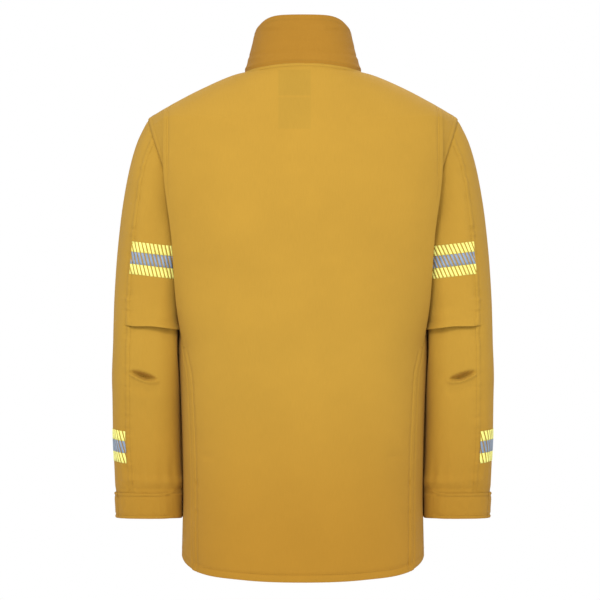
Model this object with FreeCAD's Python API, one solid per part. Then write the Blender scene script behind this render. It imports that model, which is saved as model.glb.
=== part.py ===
"""Firefighter's coat of single-layer yellow cloth, held in the shape it has when it is worn.

Millimetres. +Z is up, +Y is the way the wearer faces and +X is the wearer's right. The origin is the centre of
the neck opening, level with the points where the collar meets the shoulder seams.

Each piece of cloth is a thin closed solid with flat facets, a `patch`: a grid of points on the outside and the
same grid moved inward by the cloth's thickness. The right-hand pieces are made first, and mirrored for the
left.
"""

import FreeCAD
import Part

import math
import os

Vector = FreeCAD.Vector

# ---- driving dimensions ------------------------------------------------------------------------------
CLOTH = 1.6             # thickness of a cloth panel with its seam allowances
SEAM_GAP = 0.6          # between two panels that are sewn edge to edge
SEAM_TURN = 0.010       # the same between panels that are placed by an angle round the body
FOLD_GAP = 2.2          # between the back panel's folded edge and the gusset under it
BODY_GAP = 1.2          # between pieces that move against each other

NECK_HALF = 92.0        # half-width of the neck opening at the shoulder seam
NECK_BACK_RISE = 11.0   # the neckline is this much higher at the centre back
NECK_FRONT_DROP = 82.0  # and this much lower at the centre front
TIP_X = 243.0           # shoulder tip, where the shoulder seam meets the sleeve
TIP_Z = -77.0
SHOULDER_CURVE = 1.25   # above 1 the shoulder seams are rounded outward
UNDERARM_X = 182.0      # lowest point of the armhole
UNDERARM_Z = -272.0
ARMHOLE_HALF_DEPTH = 64.0

PLEAT_TOP_X = 218.0     # folded edge of the back panel, at the shoulder seam
PLEAT_END_Z = -436.0    # bar tack where the action pleat ends and the side seam begins
YOKE_Z = -190.0         # front yoke seam
FRONT_SEAM_X = 150.0    # seam between the front panel and the side panel
FRONT_DEPTH = 148.0     # the front hangs straight down at this distance below the chest

HEM_SIDE_Z = -759.0     # hem at the side seams
HEM_BACK_DROP = 40.0    # the shirt-tail back is this much longer
HEM_FRONT_DROP = 10.0

COLLAR_HEIGHT_BACK = 76.0
COLLAR_SIDE_Z = 66.0    # top edge of the collar at the sides
COLLAR_FRONT_Z = -6.0   # and at the front corners
COLLAR_RIM_HALF = 70.0  # half-width of the top edge, and its reach to the front and to the back
COLLAR_RIM_FRONT = 86.0
COLLAR_RIM_BACK = 72.0
COLLAR_OPENING = 0.014  # half the angle left open at the centre front
COLLAR_LIFT = 1.3       # the collar's wall starts this far above the neck seam
COLLAR_PINCH = 0.05     # and is hollowed by this share halfway up
ELBOW_Z = -440.0
CUFF_TOP_Z = -662.0
CUFF_END_Z = -702.0
TRIM_WIDTH = 50.8       # two-inch reflective trim
TRIM_THICKNESS = 0.6
TRIM_LIFT = 0.9         # its inside, from the sleeve
ARM_TRIM_Z = -292.0     # middle of the band above the elbow, which falls a little towards the body
ARM_TRIM_TILT = 14.0
WRIST_TRIM_Z = -588.0

ZIP_TOP_Z = -196.0
ZIP_END_Z = -746.0
ZIP_WINDOW = 9.0        # half-width of the gap between the two front edges
TOOTH_PITCH = 5.0
FLAP_LIFT = 6.0         # inside face of the storm flap, in front of the coat
FLAP_HINGE_X = -34.0
FLAP_EDGE_X = 38.0

BACK_POWER = 2.4        # roundness of the cross-sections: 2 is an ellipse, more is squarer
FRONT_POWER = 3.0


# ---- small helpers -----------------------------------------------------------------------------------
def profile(*stations):
    """Smooth function through (position, value) pairs in rising order, level past both ends."""
    xs = [s[0] for s in stations]
    ys = [s[1] for s in stations]
    slopes = [0.0] * len(xs)
    for i in range(1, len(xs) - 1):
        before = (ys[i] - ys[i - 1]) / (xs[i] - xs[i - 1])
        after = (ys[i + 1] - ys[i]) / (xs[i + 1] - xs[i])
        slopes[i] = 0.0 if before * after <= 0 else 2 * before * after / (before + after)
    slopes[0] = (ys[1] - ys[0]) / (xs[1] - xs[0])
    slopes[-1] = (ys[-1] - ys[-2]) / (xs[-1] - xs[-2])

    def value(x):
        x = min(max(x, xs[0]), xs[-1])
        i = next((k for k in range(1, len(xs) - 1) if x < xs[k]), len(xs) - 1) - 1
        span = xs[i + 1] - xs[i]
        t = (x - xs[i]) / span
        return (
            ys[i] * (1 + 2 * t) * (1 - t) ** 2
            + slopes[i] * span * t * (1 - t) ** 2
            + ys[i + 1] * t * t * (3 - 2 * t)
            + slopes[i + 1] * span * t * t * (t - 1)
        )

    return value


def lerp(a, b, t):
    return a + (b - a) * t


def steps(count):
    return [i / count for i in range(count + 1)]


def oval(x, half_width, half_depth, power):
    """Depth of a rounded cross-section at x, 0 at its sides and half_depth in the middle."""
    share = min(1.0, abs(x) / half_width)
    return half_depth * (1 - share ** power) ** (1 / power)


def polyhedron(points, triangles):
    """Closed solid with these flat triangles."""
    shape = Part.Shape()
    shape.makeShapeFromMesh((points, triangles), 0.001)
    solid = Part.Solid(Part.Shell(shape.Faces))
    if solid.Volume < 0:
        solid.reverse()
    return solid


def patch(outside, inside, columns, rows, closed=False):
    """Thin closed solid between two surfaces given at (u, v), over the listed columns u and rows v.
    A closed patch joins its last column to its first, as a tube does."""
    wide, high = len(columns), len(rows)
    points = [outside(u, v) for u in columns for v in rows]
    points += [inside(u, v) for u in columns for v in rows]
    half = wide * high
    faces = []

    def quad(a, b, c, d):
        faces.extend([(a, b, c), (a, c, d)])

    for i in range(wide if closed else wide - 1):
        near, far = i * high, (i + 1) % wide * high
        for k in range(high - 1):
            quad(near + k, far + k, far + k + 1, near + k + 1)
            quad(half + near + k, half + near + k + 1, half + far + k + 1, half + far + k)
        quad(near, half + near, half + far, far)
        quad(near + high - 1, far + high - 1, half + far + high - 1, half + near + high - 1)
    if not closed:
        last = (wide - 1) * high
        for k in range(high - 1):
            quad(k, k + 1, half + k + 1, half + k)
            quad(last + k, half + last + k, half + last + k + 1, last + k + 1)
    return polyhedron(points, faces)


def block(x0, x1, y0, y1, z0, z1):
    return Part.makeBox(x1 - x0, y1 - y0, z1 - z0, Vector(x0, y0, z0))


def mirrored(shape):
    return shape.mirror(Vector(0, 0, 0), Vector(1, 0, 0))


# ---- torso surface -----------------------------------------------------------------------------------
back_depth = profile(
    (HEM_SIDE_Z - HEM_BACK_DROP, 141), (-660, 142), (PLEAT_END_Z, 145), (-267, 146), (-150, 137),
    (TIP_Z, 121), (-40, 106), (0, 86), (NECK_BACK_RISE, 84),
)
front_depth = profile(
    (YOKE_Z - 12, FRONT_DEPTH), (YOKE_Z, 147.5), (-155, 136), (-120, 115), (-NECK_FRONT_DROP, 90), (-40, 55),
    (0, 34),
)
side_half_width = profile(
    (HEM_SIDE_Z, 191), (-660, 192), (-487, 195.5), (PLEAT_END_Z, 197), (-361, 191), (UNDERARM_Z, UNDERARM_X),
)
cape_half_width = profile(  # the back panel spreads wider than the body above the end of its pleats
    (HEM_SIDE_Z, 191), (-660, 192), (-487, 195.5), (PLEAT_END_Z, 197), (-361, 215), (-267, 235), (-150, 251),
    (TIP_Z, TIP_X),
)
pleat_edge = profile(
    (HEM_SIDE_Z - HEM_BACK_DROP, 173), (-660, 174), (-487, 180), (PLEAT_END_Z, 189), (-361, 200), (-267, 206),
    (-150, 218.5), (TIP_Z, PLEAT_TOP_X),
)


def shoulder_x(z):
    """Half-width of the coat at a height on the shoulder seams."""
    return NECK_HALF + (TIP_X - NECK_HALF) * max(0.0, z / TIP_Z) ** (1 / SHOULDER_CURVE)


def shoulder_z(x):
    return TIP_Z * max(0.0, (abs(x) - NECK_HALF) / (TIP_X - NECK_HALF)) ** SHOULDER_CURVE


def armhole_x(z):
    """The armhole seam lies in a plane that leans in towards the underarm."""
    return lerp(UNDERARM_X, TIP_X, (z - UNDERARM_Z) / (TIP_Z - UNDERARM_Z))


def armhole_y(z):
    height = (z - (TIP_Z + UNDERARM_Z) / 2) / ((TIP_Z - UNDERARM_Z) / 2)
    return ARMHOLE_HALF_DEPTH * math.sqrt(max(0.0, 1 - height * height))


def front_half_width(z):
    """Width of the front's cross-section, chosen so that it passes through the armhole seam."""
    if z >= TIP_Z:
        return max(NECK_HALF, shoulder_x(z))
    if z <= UNDERARM_Z:
        return side_half_width(z)
    share = armhole_y(z) / front_depth(z)
    return armhole_x(z) / (1 - share ** FRONT_POWER) ** (1 / FRONT_POWER)


def front_y(x, z):
    return oval(x, front_half_width(z), front_depth(z), FRONT_POWER) + SEAM_GAP / 2


def back_y(x, z):
    width = shoulder_x(z) if z >= TIP_Z else cape_half_width(z)
    return -oval(x, width, back_depth(z), BACK_POWER) - SEAM_GAP / 2


def inward(p, distance):
    """Point p moved towards the inside of the torso."""
    target = Vector(p.x * 0.55, 0, min(p.z, -160))
    return p + (target - p).normalize() * distance


def torso_patch(surface, columns, rows, near=0.0, far=CLOTH):
    return patch(
        lambda u, v: inward(surface(u, v), near), lambda u, v: inward(surface(u, v), far), columns, rows
    )


def hem_z(y):
    """Height of the hem, which falls from the sides to the front and, further, to the back."""
    if y < 0:
        return HEM_SIDE_Z - HEM_BACK_DROP * min(1.0, -y / back_depth(HEM_SIDE_Z))
    return HEM_SIDE_Z - HEM_FRONT_DROP * min(1.0, y / FRONT_DEPTH) ** 1.5


def back_neck_z(x):
    return NECK_BACK_RISE * (1 - min(1.0, abs(x) / NECK_HALF) ** 2)


def front_neck_z(x):
    return -NECK_FRONT_DROP * math.sqrt(max(0.0, 1 - (x / NECK_HALF) ** 2))


# ---- torso pieces ------------------------------------------------------------------------------------
LOWER_ROWS = [0, 0.14, 0.28, 0.42, 0.52, 0.6, 0.68, 0.76, 0.83, 0.88, 0.92, 0.95, 0.975, 0.99, 1]


def back_panel():
    def surface(u, v):
        share = 2 * u - 1
        top_x = abs(share) * PLEAT_TOP_X
        top = back_neck_z(top_x) if top_x < NECK_HALF else shoulder_z(top_x)
        hem_x = share * pleat_edge(HEM_SIDE_Z)
        z = lerp(hem_z(back_y(hem_x, HEM_SIDE_Z)), top, v)
        x = share * pleat_edge(z)
        return Vector(x, back_y(x, z), z)

    edge = NECK_HALF / PLEAT_TOP_X
    halves = [edge * s for s in (0.25, 0.5, 0.75, 0.92, 1)]
    halves += [lerp(edge, 1, s) for s in (0.25, 0.5, 0.75, 0.9, 1)]
    columns = [0.5 - s / 2 for s in reversed(halves)] + [0.5] + [0.5 + s / 2 for s in halves]
    return torso_patch(surface, columns, LOWER_ROWS)


def side_seam(z):
    """Point under the action pleat where the pleat's gusset meets the side panel."""
    share = (z - UNDERARM_Z) / (PLEAT_END_Z - UNDERARM_Z)
    end = abs(back_y(pleat_edge(PLEAT_END_Z), PLEAT_END_Z))
    y = end * share
    x = oval(y, back_depth(z), side_half_width(z), BACK_POWER)
    return Vector(min(x, lerp(UNDERARM_X, pleat_edge(PLEAT_END_Z), share)), -y, z)


def pleat_gusset():
    """Strip from the fold of the back panel to the armhole and the side seam."""

    def surface(u, v):
        z = lerp(PLEAT_END_Z, TIP_Z, v)
        fold_z = lerp(PLEAT_END_Z, shoulder_z(PLEAT_TOP_X), v)
        fold_x = pleat_edge(fold_z)
        fold = Vector(fold_x + SEAM_GAP + FOLD_GAP * v, back_y(fold_x, fold_z) + FOLD_GAP, fold_z)
        edge = side_seam(z) if z < UNDERARM_Z else Vector(armhole_x(z), -armhole_y(z), z)
        p = fold + (edge - fold) * u
        # the cloth bows in towards the body, clear of the sleeve
        p.x = lerp(fold.x, edge.x, math.sin(math.pi / 2 * u))
        return p

    underarm = (UNDERARM_Z - PLEAT_END_Z) / (TIP_Z - PLEAT_END_Z)
    below = [0.06, 0.14, 0.24, 0.36, underarm - 0.02]
    above = [underarm + s for s in (0, 0.005, 0.018, 0.045, 0.1, 0.17, 0.24, 0.31, 0.38, 0.44)]
    top = [0.95, 0.98, 0.995]
    thickness = Vector(CLOTH, 0, 0)
    return patch(surface, lambda u, v: surface(u, v) - thickness, steps(5), below + above + top)


def side_panel():
    """From the back panel round the side to the front, with the lower part of the armhole cut from its top."""
    armhole_share = 0.62

    def angle(x, y, z):
        depth = back_depth(z) if y < 0 else front_depth(z)
        power = BACK_POWER if y < 0 else FRONT_POWER
        return math.atan2(
            math.copysign(abs(y / depth) ** (power / 2), y), abs(x / front_half_width(z)) ** (power / 2)
        )

    def surface(u, v):
        top = lerp(UNDERARM_Z, YOKE_Z - SEAM_GAP, min(1.0, u / armhole_share))
        seam_y = back_y(pleat_edge(HEM_SIDE_Z), HEM_SIDE_Z)
        bottom = hem_z(lerp(seam_y, front_y(FRONT_SEAM_X, HEM_SIDE_Z), u))
        z = lerp(bottom, top, v)
        across = u
        if z < PLEAT_END_Z:
            x = pleat_edge(z)
            start = angle(x, back_y(x, z), z)
        elif z < UNDERARM_Z:
            seam = side_seam(z)
            start = angle(seam.x, seam.y, z)
        else:
            start = angle(armhole_x(z), armhole_y(z), z)
            cut = armhole_share * (z - UNDERARM_Z) / (YOKE_Z - SEAM_GAP - UNDERARM_Z)
            across = (u - cut) / (1 - cut) if cut < 1 else 1.0
        end = angle(FRONT_SEAM_X, front_y(FRONT_SEAM_X, z), z)
        turn = lerp(start + SEAM_TURN, end, across)
        depth = back_depth(z) if turn < 0 else front_depth(z)
        power = BACK_POWER if turn < 0 else FRONT_POWER
        x = front_half_width(z) * math.cos(turn) ** (2 / power)
        y = depth * math.copysign(abs(math.sin(turn)) ** (2 / power), turn)
        return Vector(x, y, z)

    under_armhole = [armhole_share * s for s in (0, 0.016, 0.06, 0.14, 0.28, 0.42, 0.57, 0.71, 0.86, 1)]
    columns = under_armhole + [0.75, 0.88, 1]
    return torso_patch(surface, columns, [0, 0.2, 0.4, 0.55, 0.65, 0.75, 0.85, 0.93, 1])


def front_panel():
    def surface(u, v):
        x = lerp(ZIP_WINDOW, FRONT_SEAM_X - SEAM_GAP, u)
        z = lerp(hem_z(front_y(x, HEM_SIDE_Z)), YOKE_Z - SEAM_GAP, v)
        return Vector(x, front_y(x, z), z)

    return torso_patch(surface, [0, 0.16, 0.32, 0.48, 0.64, 0.8, 0.9, 1], [0, 0.3, 0.6, 0.75, 0.85, 0.93, 1])


def front_yoke():
    """Front of the shoulder, from the neckline and the shoulder seam down to the yoke seam."""
    neck_share = 0.45       # of its top edge, the rest is the shoulder seam

    def surface(u, v):
        low_x = lerp(SEAM_GAP, armhole_x(YOKE_Z), u)
        if u < neck_share:
            top_x = max(SEAM_GAP, NECK_HALF * math.sin(math.pi / 2 * u / neck_share))
            top_z = front_neck_z(top_x)
        else:
            top_x = lerp(NECK_HALF, TIP_X, (u - neck_share) / (1 - neck_share))
            top_z = shoulder_z(top_x)
        z = lerp(YOKE_Z, top_z, v)
        x = armhole_x(z) if u >= 1 else min(lerp(low_x, top_x, v ** 1.5), armhole_x(z))
        return Vector(x, front_y(x, z), z)

    columns = [0, 0.1, 0.2, 0.28, 0.35, 0.41, neck_share, 0.55, 0.65, 0.75, 0.84, 0.92, 1]
    return torso_patch(surface, columns, [0, 0.15, 0.3, 0.45, 0.6, 0.73, 0.84, 0.92, 0.97, 1])


# ---- collar ------------------------------------------------------------------------------------------
def neckline(turn):
    """Point of the neck seam at an angle: 0 at the wearer's right, 90 degrees at the front."""
    x = NECK_HALF * math.cos(turn)
    if math.sin(turn) < 0:
        z = back_neck_z(x)
        return Vector(x, back_y(x, z), z)
    z = front_neck_z(x)
    return Vector(x, front_y(x, z), z)


def collar_rim(turn):
    """Top edge of the collar, narrower than the neck seam and lower at the front."""
    ahead = math.sin(turn)
    if ahead < 0:
        height = lerp(COLLAR_SIDE_Z, COLLAR_HEIGHT_BACK + NECK_BACK_RISE, ahead * ahead)
        return Vector(COLLAR_RIM_HALF * math.cos(turn), COLLAR_RIM_BACK * ahead, height)
    height = lerp(COLLAR_SIDE_Z, COLLAR_FRONT_Z, ahead ** 1.3)
    return Vector(COLLAR_RIM_HALF * math.cos(turn), COLLAR_RIM_FRONT * ahead, height)


FULL_TURN = 2 * math.pi
COLLAR_ENDS = (math.pi / 2 + COLLAR_OPENING, math.pi / 2 + FULL_TURN - COLLAR_OPENING)


def collar_ring(outer, thickness, ends=COLLAR_ENDS, low=0.0, high=1.0, columns=36):
    """Part of the collar's wall, from `outer` mm outside it to `thickness` mm further in."""

    def surface(u, v, out):
        turn = lerp(ends[0], ends[1], u)
        share = lerp(low, high, v)
        p = lerp(neckline(turn), collar_rim(turn), share) + Vector(0, 0, COLLAR_LIFT * (1 - share))
        pinch = 1 - COLLAR_PINCH * math.sin(math.pi * share)
        centre = Vector(0, 0, p.z)
        away = Vector(p.x * pinch, p.y * pinch, p.z) - centre
        return centre + away * ((away.Length + out) / away.Length)

    inner = outer - thickness
    return patch(lambda u, v: surface(u, v, outer), lambda u, v: surface(u, v, inner), steps(columns), steps(5))


# ---- sleeves -----------------------------------------------------------------------------------------
SLEEVE_STATIONS = (  # share of the sleeve's length: outer x and z, inner x and z, half-depth, centre y
    (0.00, TIP_X, TIP_Z, UNDERARM_X, UNDERARM_Z, 64, 0),
    (0.08, 262, -116, 185, -280, 67, 1),
    (0.16, 276, -163, 187, -293, 70, 2),
    (0.26, 288, -232, 189, -315, 71, 3),
    (0.38, 295, -310, 192, -350, 70, 3),
    (0.49, 299, -378, 196, -392, 67, 2),
    (0.59, 300.5, ELBOW_Z, 199, ELBOW_Z, 64, 2),
    (0.72, 300.5, -520, 198.5, -520, 61, 6),
    (0.84, 300, -595, 197, -595, 58, 13),
    (0.94, 297.5, CUFF_TOP_Z, 195, CUFF_TOP_Z, 55, 20),
    (1.00, 296, CUFF_END_Z, 194, CUFF_END_Z, 55, 24),
)
SLEEVE_PARTS = [
    profile(*[(s[0], s[k]) for s in SLEEVE_STATIONS]) for k in range(1, 7)
]
ELBOW_SHARE, CUFF_SHARE = 0.59, 0.94
BACK_SEAM = math.radians(-57)     # seam down the back of the sleeve, from the outside of the arm
FRONT_SEAM = math.radians(100)
SEAM_INSET = 0.05                 # turn left free between a seam and the end of a trim
SLEEVE_START = 0.010              # share of the sleeve's length left free at the armhole seam
SEAM_SHARE = 0.001                # and on each side of the elbow and cuff seams


def sleeve_section(share):
    """(centre, half-width vector, half-depth) of the sleeve at a share of its length."""
    out_x, out_z, in_x, in_z, depth, y = (part(share) for part in SLEEVE_PARTS)
    centre = Vector((out_x + in_x) / 2, y, (out_z + in_z) / 2)
    return centre, Vector((out_x - in_x) / 2, 0, (out_z - in_z) / 2), depth


def sleeve_point(turn, share, out=0.0):
    """Point of the sleeve; turn is 0 on the outside of the arm and 90 degrees at its front."""
    centre, across, depth = sleeve_section(share)
    p = across * math.cos(turn) + Vector(0, depth * math.sin(turn), 0)
    return centre + p * ((p.Length + out) / p.Length)


def sleeve_patch(first, last, low, high, outer=0.0, thickness=CLOTH, columns=10, rows=8):
    """Part of the sleeve between two turns and two shares of its length."""

    def at(u, v, out):
        return sleeve_point(lerp(first, last, u), lerp(low, high, v), out)

    return patch(
        lambda u, v: at(u, v, outer), lambda u, v: at(u, v, outer - thickness), steps(columns), steps(rows)
    )


def sleeve_panels(low, high, rows):
    """The outer and inner cloth of one stretch of the sleeve."""
    top = sleeve_patch(BACK_SEAM + SEAM_TURN, FRONT_SEAM - SEAM_TURN, low, high, columns=11, rows=rows)
    under = sleeve_patch(FRONT_SEAM, BACK_SEAM + FULL_TURN, low, high, columns=14, rows=rows)
    return top, under


def share_at(turn, z):
    """Share of the sleeve's length at which the line at this turn comes down to height z."""
    low, high = 0.0, 1.0
    for _ in range(24):
        middle = (low + high) / 2
        if sleeve_point(turn, middle).z > z:
            low = middle
        else:
            high = middle
    return low


def trim_band(first, last, middle_z, tilt):
    """Reflective band across one sleeve panel, two inches wide; it falls by `tilt` towards the body."""

    def at(u, v, out):
        turn = lerp(first, last, u)
        fall = tilt * (1 - math.cos(turn)) / 2
        z = middle_z - fall + TRIM_WIDTH * (0.5 - v)
        return sleeve_point(turn, share_at(turn, z), out)

    outer = TRIM_LIFT + TRIM_THICKNESS
    return patch(lambda u, v: at(u, v, outer), lambda u, v: at(u, v, TRIM_LIFT), steps(18), steps(2))


# ---- cuff --------------------------------------------------------------------------------------------
STRAP_SEWN = math.radians(60)     # the wrist strap is sewn on from the front of the arm
STRAP_HINGE = math.radians(-31)   # to the outside of it, and its tab crosses the back from here
STRAP_FREE = math.radians(-155)   # to this free end beside the body
STRAP_THICK = 2.0
CUFF_THICK = 2.4
CUFF_RAISE = 0.4                  # the cuff band stands this far outside the sleeve
HOOK_THICK = 0.5


def cuff_band():
    def at(u, v, out):
        return sleeve_point(FULL_TURN * u, lerp(CUFF_SHARE + SEAM_SHARE, 1.0, v), out)

    return patch(
        lambda u, v: at(u, v, CUFF_RAISE),
        lambda u, v: at(u, v, CUFF_RAISE - CUFF_THICK),
        steps(24)[:-1],
        [0, 0.5, 1],
        closed=True,
    )


def wrist_strap(first, last, columns):
    out = CUFF_RAISE + BODY_GAP + STRAP_THICK
    return sleeve_patch(first, last, CUFF_SHARE + 0.002, 0.9995, out, STRAP_THICK, columns=columns, rows=2)


def strap_hooks():
    """Hook patch on the inside of the tab, near its free end."""
    out = CUFF_RAISE + BODY_GAP - 0.4
    first, last = STRAP_FREE + 0.12, STRAP_FREE + 0.9
    return sleeve_patch(first, last, CUFF_SHARE + 0.012, 0.99, out, HOOK_THICK, columns=5, rows=2)


# ---- zip ---------------------------------------------------------------------------------------------
TAPE_Y = FRONT_DEPTH - 3.4
CHAIN_HALF = 2.6        # half the thickness of the teeth
TOOTH_REACH = 3.5
TOOTH_GAP = 0.8         # half the gap that the slider's post passes through
TOOTH_HALF_HEIGHT = 1.0
CHAIN_Y = TAPE_Y + 0.5
PLATE = 1.7


def zip_tape():
    return block(1.4, 20, TAPE_Y, TAPE_Y + 1.0, ZIP_END_Z, ZIP_TOP_Z + 4)


def zip_teeth(offset):
    """One row of teeth; each has a head and a narrower foot clamped on the tape's edge."""
    count = int((ZIP_TOP_Z - ZIP_END_Z - 20) / TOOTH_PITCH)
    teeth = []
    for i in range(count):
        z = ZIP_TOP_Z - 12 - offset - i * TOOTH_PITCH
        low, high = z - TOOTH_HALF_HEIGHT, z + TOOTH_HALF_HEIGHT
        front = block(TOOTH_GAP, TOOTH_REACH, CHAIN_Y + 0.6, CHAIN_Y + CHAIN_HALF, low, high)
        back = block(TOOTH_GAP, TOOTH_REACH, CHAIN_Y - CHAIN_HALF, CHAIN_Y - 0.6, low, high)
        head = block(TOOTH_GAP, 1.3, CHAIN_Y - 0.7, CHAIN_Y + 0.7, low, high)
        teeth.append(front.fuse([back, head]).removeSplitter())
    return Part.Compound(teeth)


def zip_box():
    """Retainer box and pin at the foot of the zip."""
    body = block(-6, 6, CHAIN_Y - 3.2, CHAIN_Y + 3.2, ZIP_END_Z - 2, ZIP_END_Z + 9)
    slot = block(-20, 20, TAPE_Y - 0.4, TAPE_Y + 1.4, ZIP_END_Z - 1, ZIP_END_Z + 20)
    return body.cut(slot)


SLIDER_TOP = ZIP_TOP_Z + 4
PIN_RADIUS = 0.7


def zip_slider():
    low, high = SLIDER_TOP - 17, SLIDER_TOP
    front = CHAIN_Y + CHAIN_HALF + 0.3
    back = CHAIN_Y - CHAIN_HALF - 0.3

    def plate(y0, y1):
        outline = [(-4.2, low), (4.2, low), (6.5, high - 7), (6.5, high), (-6.5, high), (-6.5, high - 7)]
        wire = Part.makePolygon([Vector(x, y0, z) for x, z in outline + outline[:1]])
        return Part.Face(wire).extrude(Vector(0, y1 - y0, 0))

    post = block(-0.5, 0.5, back - 0.5, front + 0.5, high - 5, high - 0.5)
    crown = block(-1.2, 1.2, front + PLATE - 0.2, front + PLATE + 2.6, high - 10, high - 3)
    hole = Part.makeCylinder(PIN_RADIUS + 0.05, 8, Vector(-4, front + PLATE + 1.3, high - 6), Vector(1, 0, 0))
    flanges = []
    for side in (-1, 1):
        x0, x1 = sorted((side * 4.9, side * 6.4))
        flanges.append(block(x0, x1, TAPE_Y + 1.5, front + 0.5, high - 6.5, high - 0.5))
        flanges.append(block(x0, x1, back - 0.5, TAPE_Y - 0.5, high - 6.5, high - 0.5))
    body = plate(front, front + PLATE).fuse([plate(back - PLATE, back), post, crown] + flanges)
    return body.cut(hole).removeSplitter()


def zip_pull():
    """Fork on a pin through the slider's crown, with the tab that hangs from it."""
    y = CHAIN_Y + CHAIN_HALF + 0.3 + PLATE + 1.3
    z = SLIDER_TOP - 6
    pin = Part.makeCylinder(PIN_RADIUS, 6.4, Vector(-3.2, y, z), Vector(1, 0, 0))
    arms = [block(x, x + 1.5, y - 0.8, y + 0.8, z - 12, z + 1.2) for x in (-3.2, 1.7)]
    tab = block(-4.5, 4.5, y - 0.8, y + 0.8, z - 38, z - 9)
    low_corners = [e for e in tab.Edges if e.BoundBox.ZMax < z - 30 and e.BoundBox.XLength < 0.1]
    return tab.makeFillet(3.0, low_corners).fuse(arms + [pin]).removeSplitter()


# ---- storm flap --------------------------------------------------------------------------------------
FLAP_THICK = 2.4
FLAP_TOP_Z = YOKE_Z - 2
FLAP_END_Z = HEM_SIDE_Z + 8
FLAP_Y = FRONT_DEPTH + FLAP_LIFT


def storm_flap():
    return block(FLAP_HINGE_X, FLAP_EDGE_X, FLAP_Y, FLAP_Y + FLAP_THICK, FLAP_END_Z, FLAP_TOP_Z)


def storm_flap_top():
    """Upper end of the flap, which lies over the chest up to the collar."""

    def at(u, v, lift):
        x = lerp(FLAP_HINGE_X, FLAP_EDGE_X, u)
        z = lerp(FLAP_TOP_Z + 1, -NECK_FRONT_DROP - 6, v)
        return Vector(x, front_y(0, z) + lift * lerp(1, 0.6, v), z)

    return patch(
        lambda u, v: at(u, v, FLAP_LIFT + FLAP_THICK), lambda u, v: at(u, v, FLAP_LIFT), steps(1), steps(6)
    )


def hook_strip():
    return block(14, 36, FLAP_Y - 1.3, FLAP_Y - 0.1, FLAP_END_Z + 30, FLAP_TOP_Z - 20)


def loop_strip():
    return block(14, 36, FRONT_DEPTH + 0.45, FRONT_DEPTH + 1.6, FLAP_END_Z + 30, FLAP_TOP_Z - 50)


# ---- pockets -----------------------------------------------------------------------------------------
FLAP_RISE = 16.0        # a pocket's flap is hinged this far above its mouth
FLAP_KNEE = 13.0        # and bends down after this drop
FLAP_STANDOFF = 3.0     # the hinge line, in front of the coat
FLAP_OVERHANG = 4.0     # the flap is this much wider than the bag at each side
POCKET_LIFT = 0.8       # back of the pocket, in front of the coat


class Pocket:
    """Bellows pocket: an open-topped bag on the front panel, under a flap that lifts."""

    def __init__(self, x0, x1, top_z, height, depth, flap_height):
        self.x0, self.x1, self.top_z, self.height, self.flap_height = x0, x1, top_z, height, flap_height
        heights = [top_z - height * s for s in steps(6)]
        self.skin = lambda x: max(front_y(x, z) for z in heights) + POCKET_LIFT
        chord = Vector(x1 - x0, self.skin(x1) - self.skin(x0), 0)
        self.along = chord.normalize()
        self.out = Vector(-self.along.y, self.along.x, 0)
        middle = [Vector(lerp(x0, x1, s), self.skin(lerp(x0, x1, s)), 0) for s in steps(8)]
        base = Vector(x0, self.skin(x0), 0)
        self.bulge = max((p - base).dot(self.out) for p in middle)
        self.face = base + self.out * (self.bulge + depth)
        self.width = (Vector(x1, self.skin(x1), 0) - base).dot(self.along)
        self.hinge = base + self.out * (self.bulge + FLAP_STANDOFF)

    def corner(self, start, along, out, z):
        p = start + self.along * along + self.out * out
        return Vector(p.x, p.y, z)

    def bag(self):
        """Front, sides and bottom of cloth; the front panel closes the back."""
        low = self.top_z - self.height

        def plan(inset, z):
            points = [Vector(lerp(self.x0 + inset, self.x1 - inset, s), 0, z) for s in steps(8)]
            for p in points:
                p.y = self.skin(p.x)
            points.append(self.corner(self.face, self.width - inset, -inset, z))
            points.append(self.corner(self.face, inset, -inset, z))
            return Part.Face(Part.makePolygon(points + points[:1]))

        outside = plan(0, low).extrude(Vector(0, 0, self.height))
        room = plan(CLOTH, low + CLOTH).extrude(Vector(0, 0, self.height))
        shifted = room.copy()
        shifted.translate(self.out * -6)
        return outside.cut(room.fuse(shifted)).removeSplitter()

    def sheet(self, width_margin, top, bottom, inner, thick):
        """Piece of the flap: it slopes out over the bag's mouth, then hangs in front of the bag."""
        reach = (self.face - self.hinge).dot(self.out) + BODY_GAP + 1.0

        def at(along, drop, off):
            slope = reach * min(1.0, drop / FLAP_KNEE)
            return self.corner(self.hinge, along, slope + off, self.top_z + FLAP_RISE - drop)

        first, last = -width_margin, self.width + width_margin
        drops = [top] + [FLAP_KNEE] * (top < FLAP_KNEE) + [bottom]
        return patch(
            lambda u, v: at(lerp(first, last, u), drops[v], inner + thick),
            lambda u, v: at(lerp(first, last, u), drops[v], inner),
            [0, 1], list(range(len(drops))),
        )

    def flap(self):
        return self.sheet(FLAP_OVERHANG, 0, self.flap_height, 0, 2.2)

    def hooks(self):
        shrink = -self.width * 0.28
        return self.sheet(shrink, self.flap_height * 0.6, self.flap_height - 6, -0.9, 0.8)


CHEST = Pocket(52, 164, -224, 140, 15, 62)
CARGO = Pocket(50, 166, -556, 176, 22, 72)


# ---- small pieces ------------------------------------------------------------------------------------
FACING_HALF = 78.0
FACING_TOP_Z = -4.0
FACING_SIDE_Z = -24.0
FACING_END_Z = -70.0
FACING_LIFT = 1.8       # clear of the inside of the back panel
FACING_THICK = 1.0
LABEL_LEFT_X = -40.0    # the labels are sewn off centre, towards the wearer's left
LABEL_RIGHT_X = 12.0
LABEL_HEIGHTS = ((-4.0, -40.0), (-44.0, -92.0))
LABEL_LIFT = 0.8
LABEL_THICK = 0.6

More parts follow.
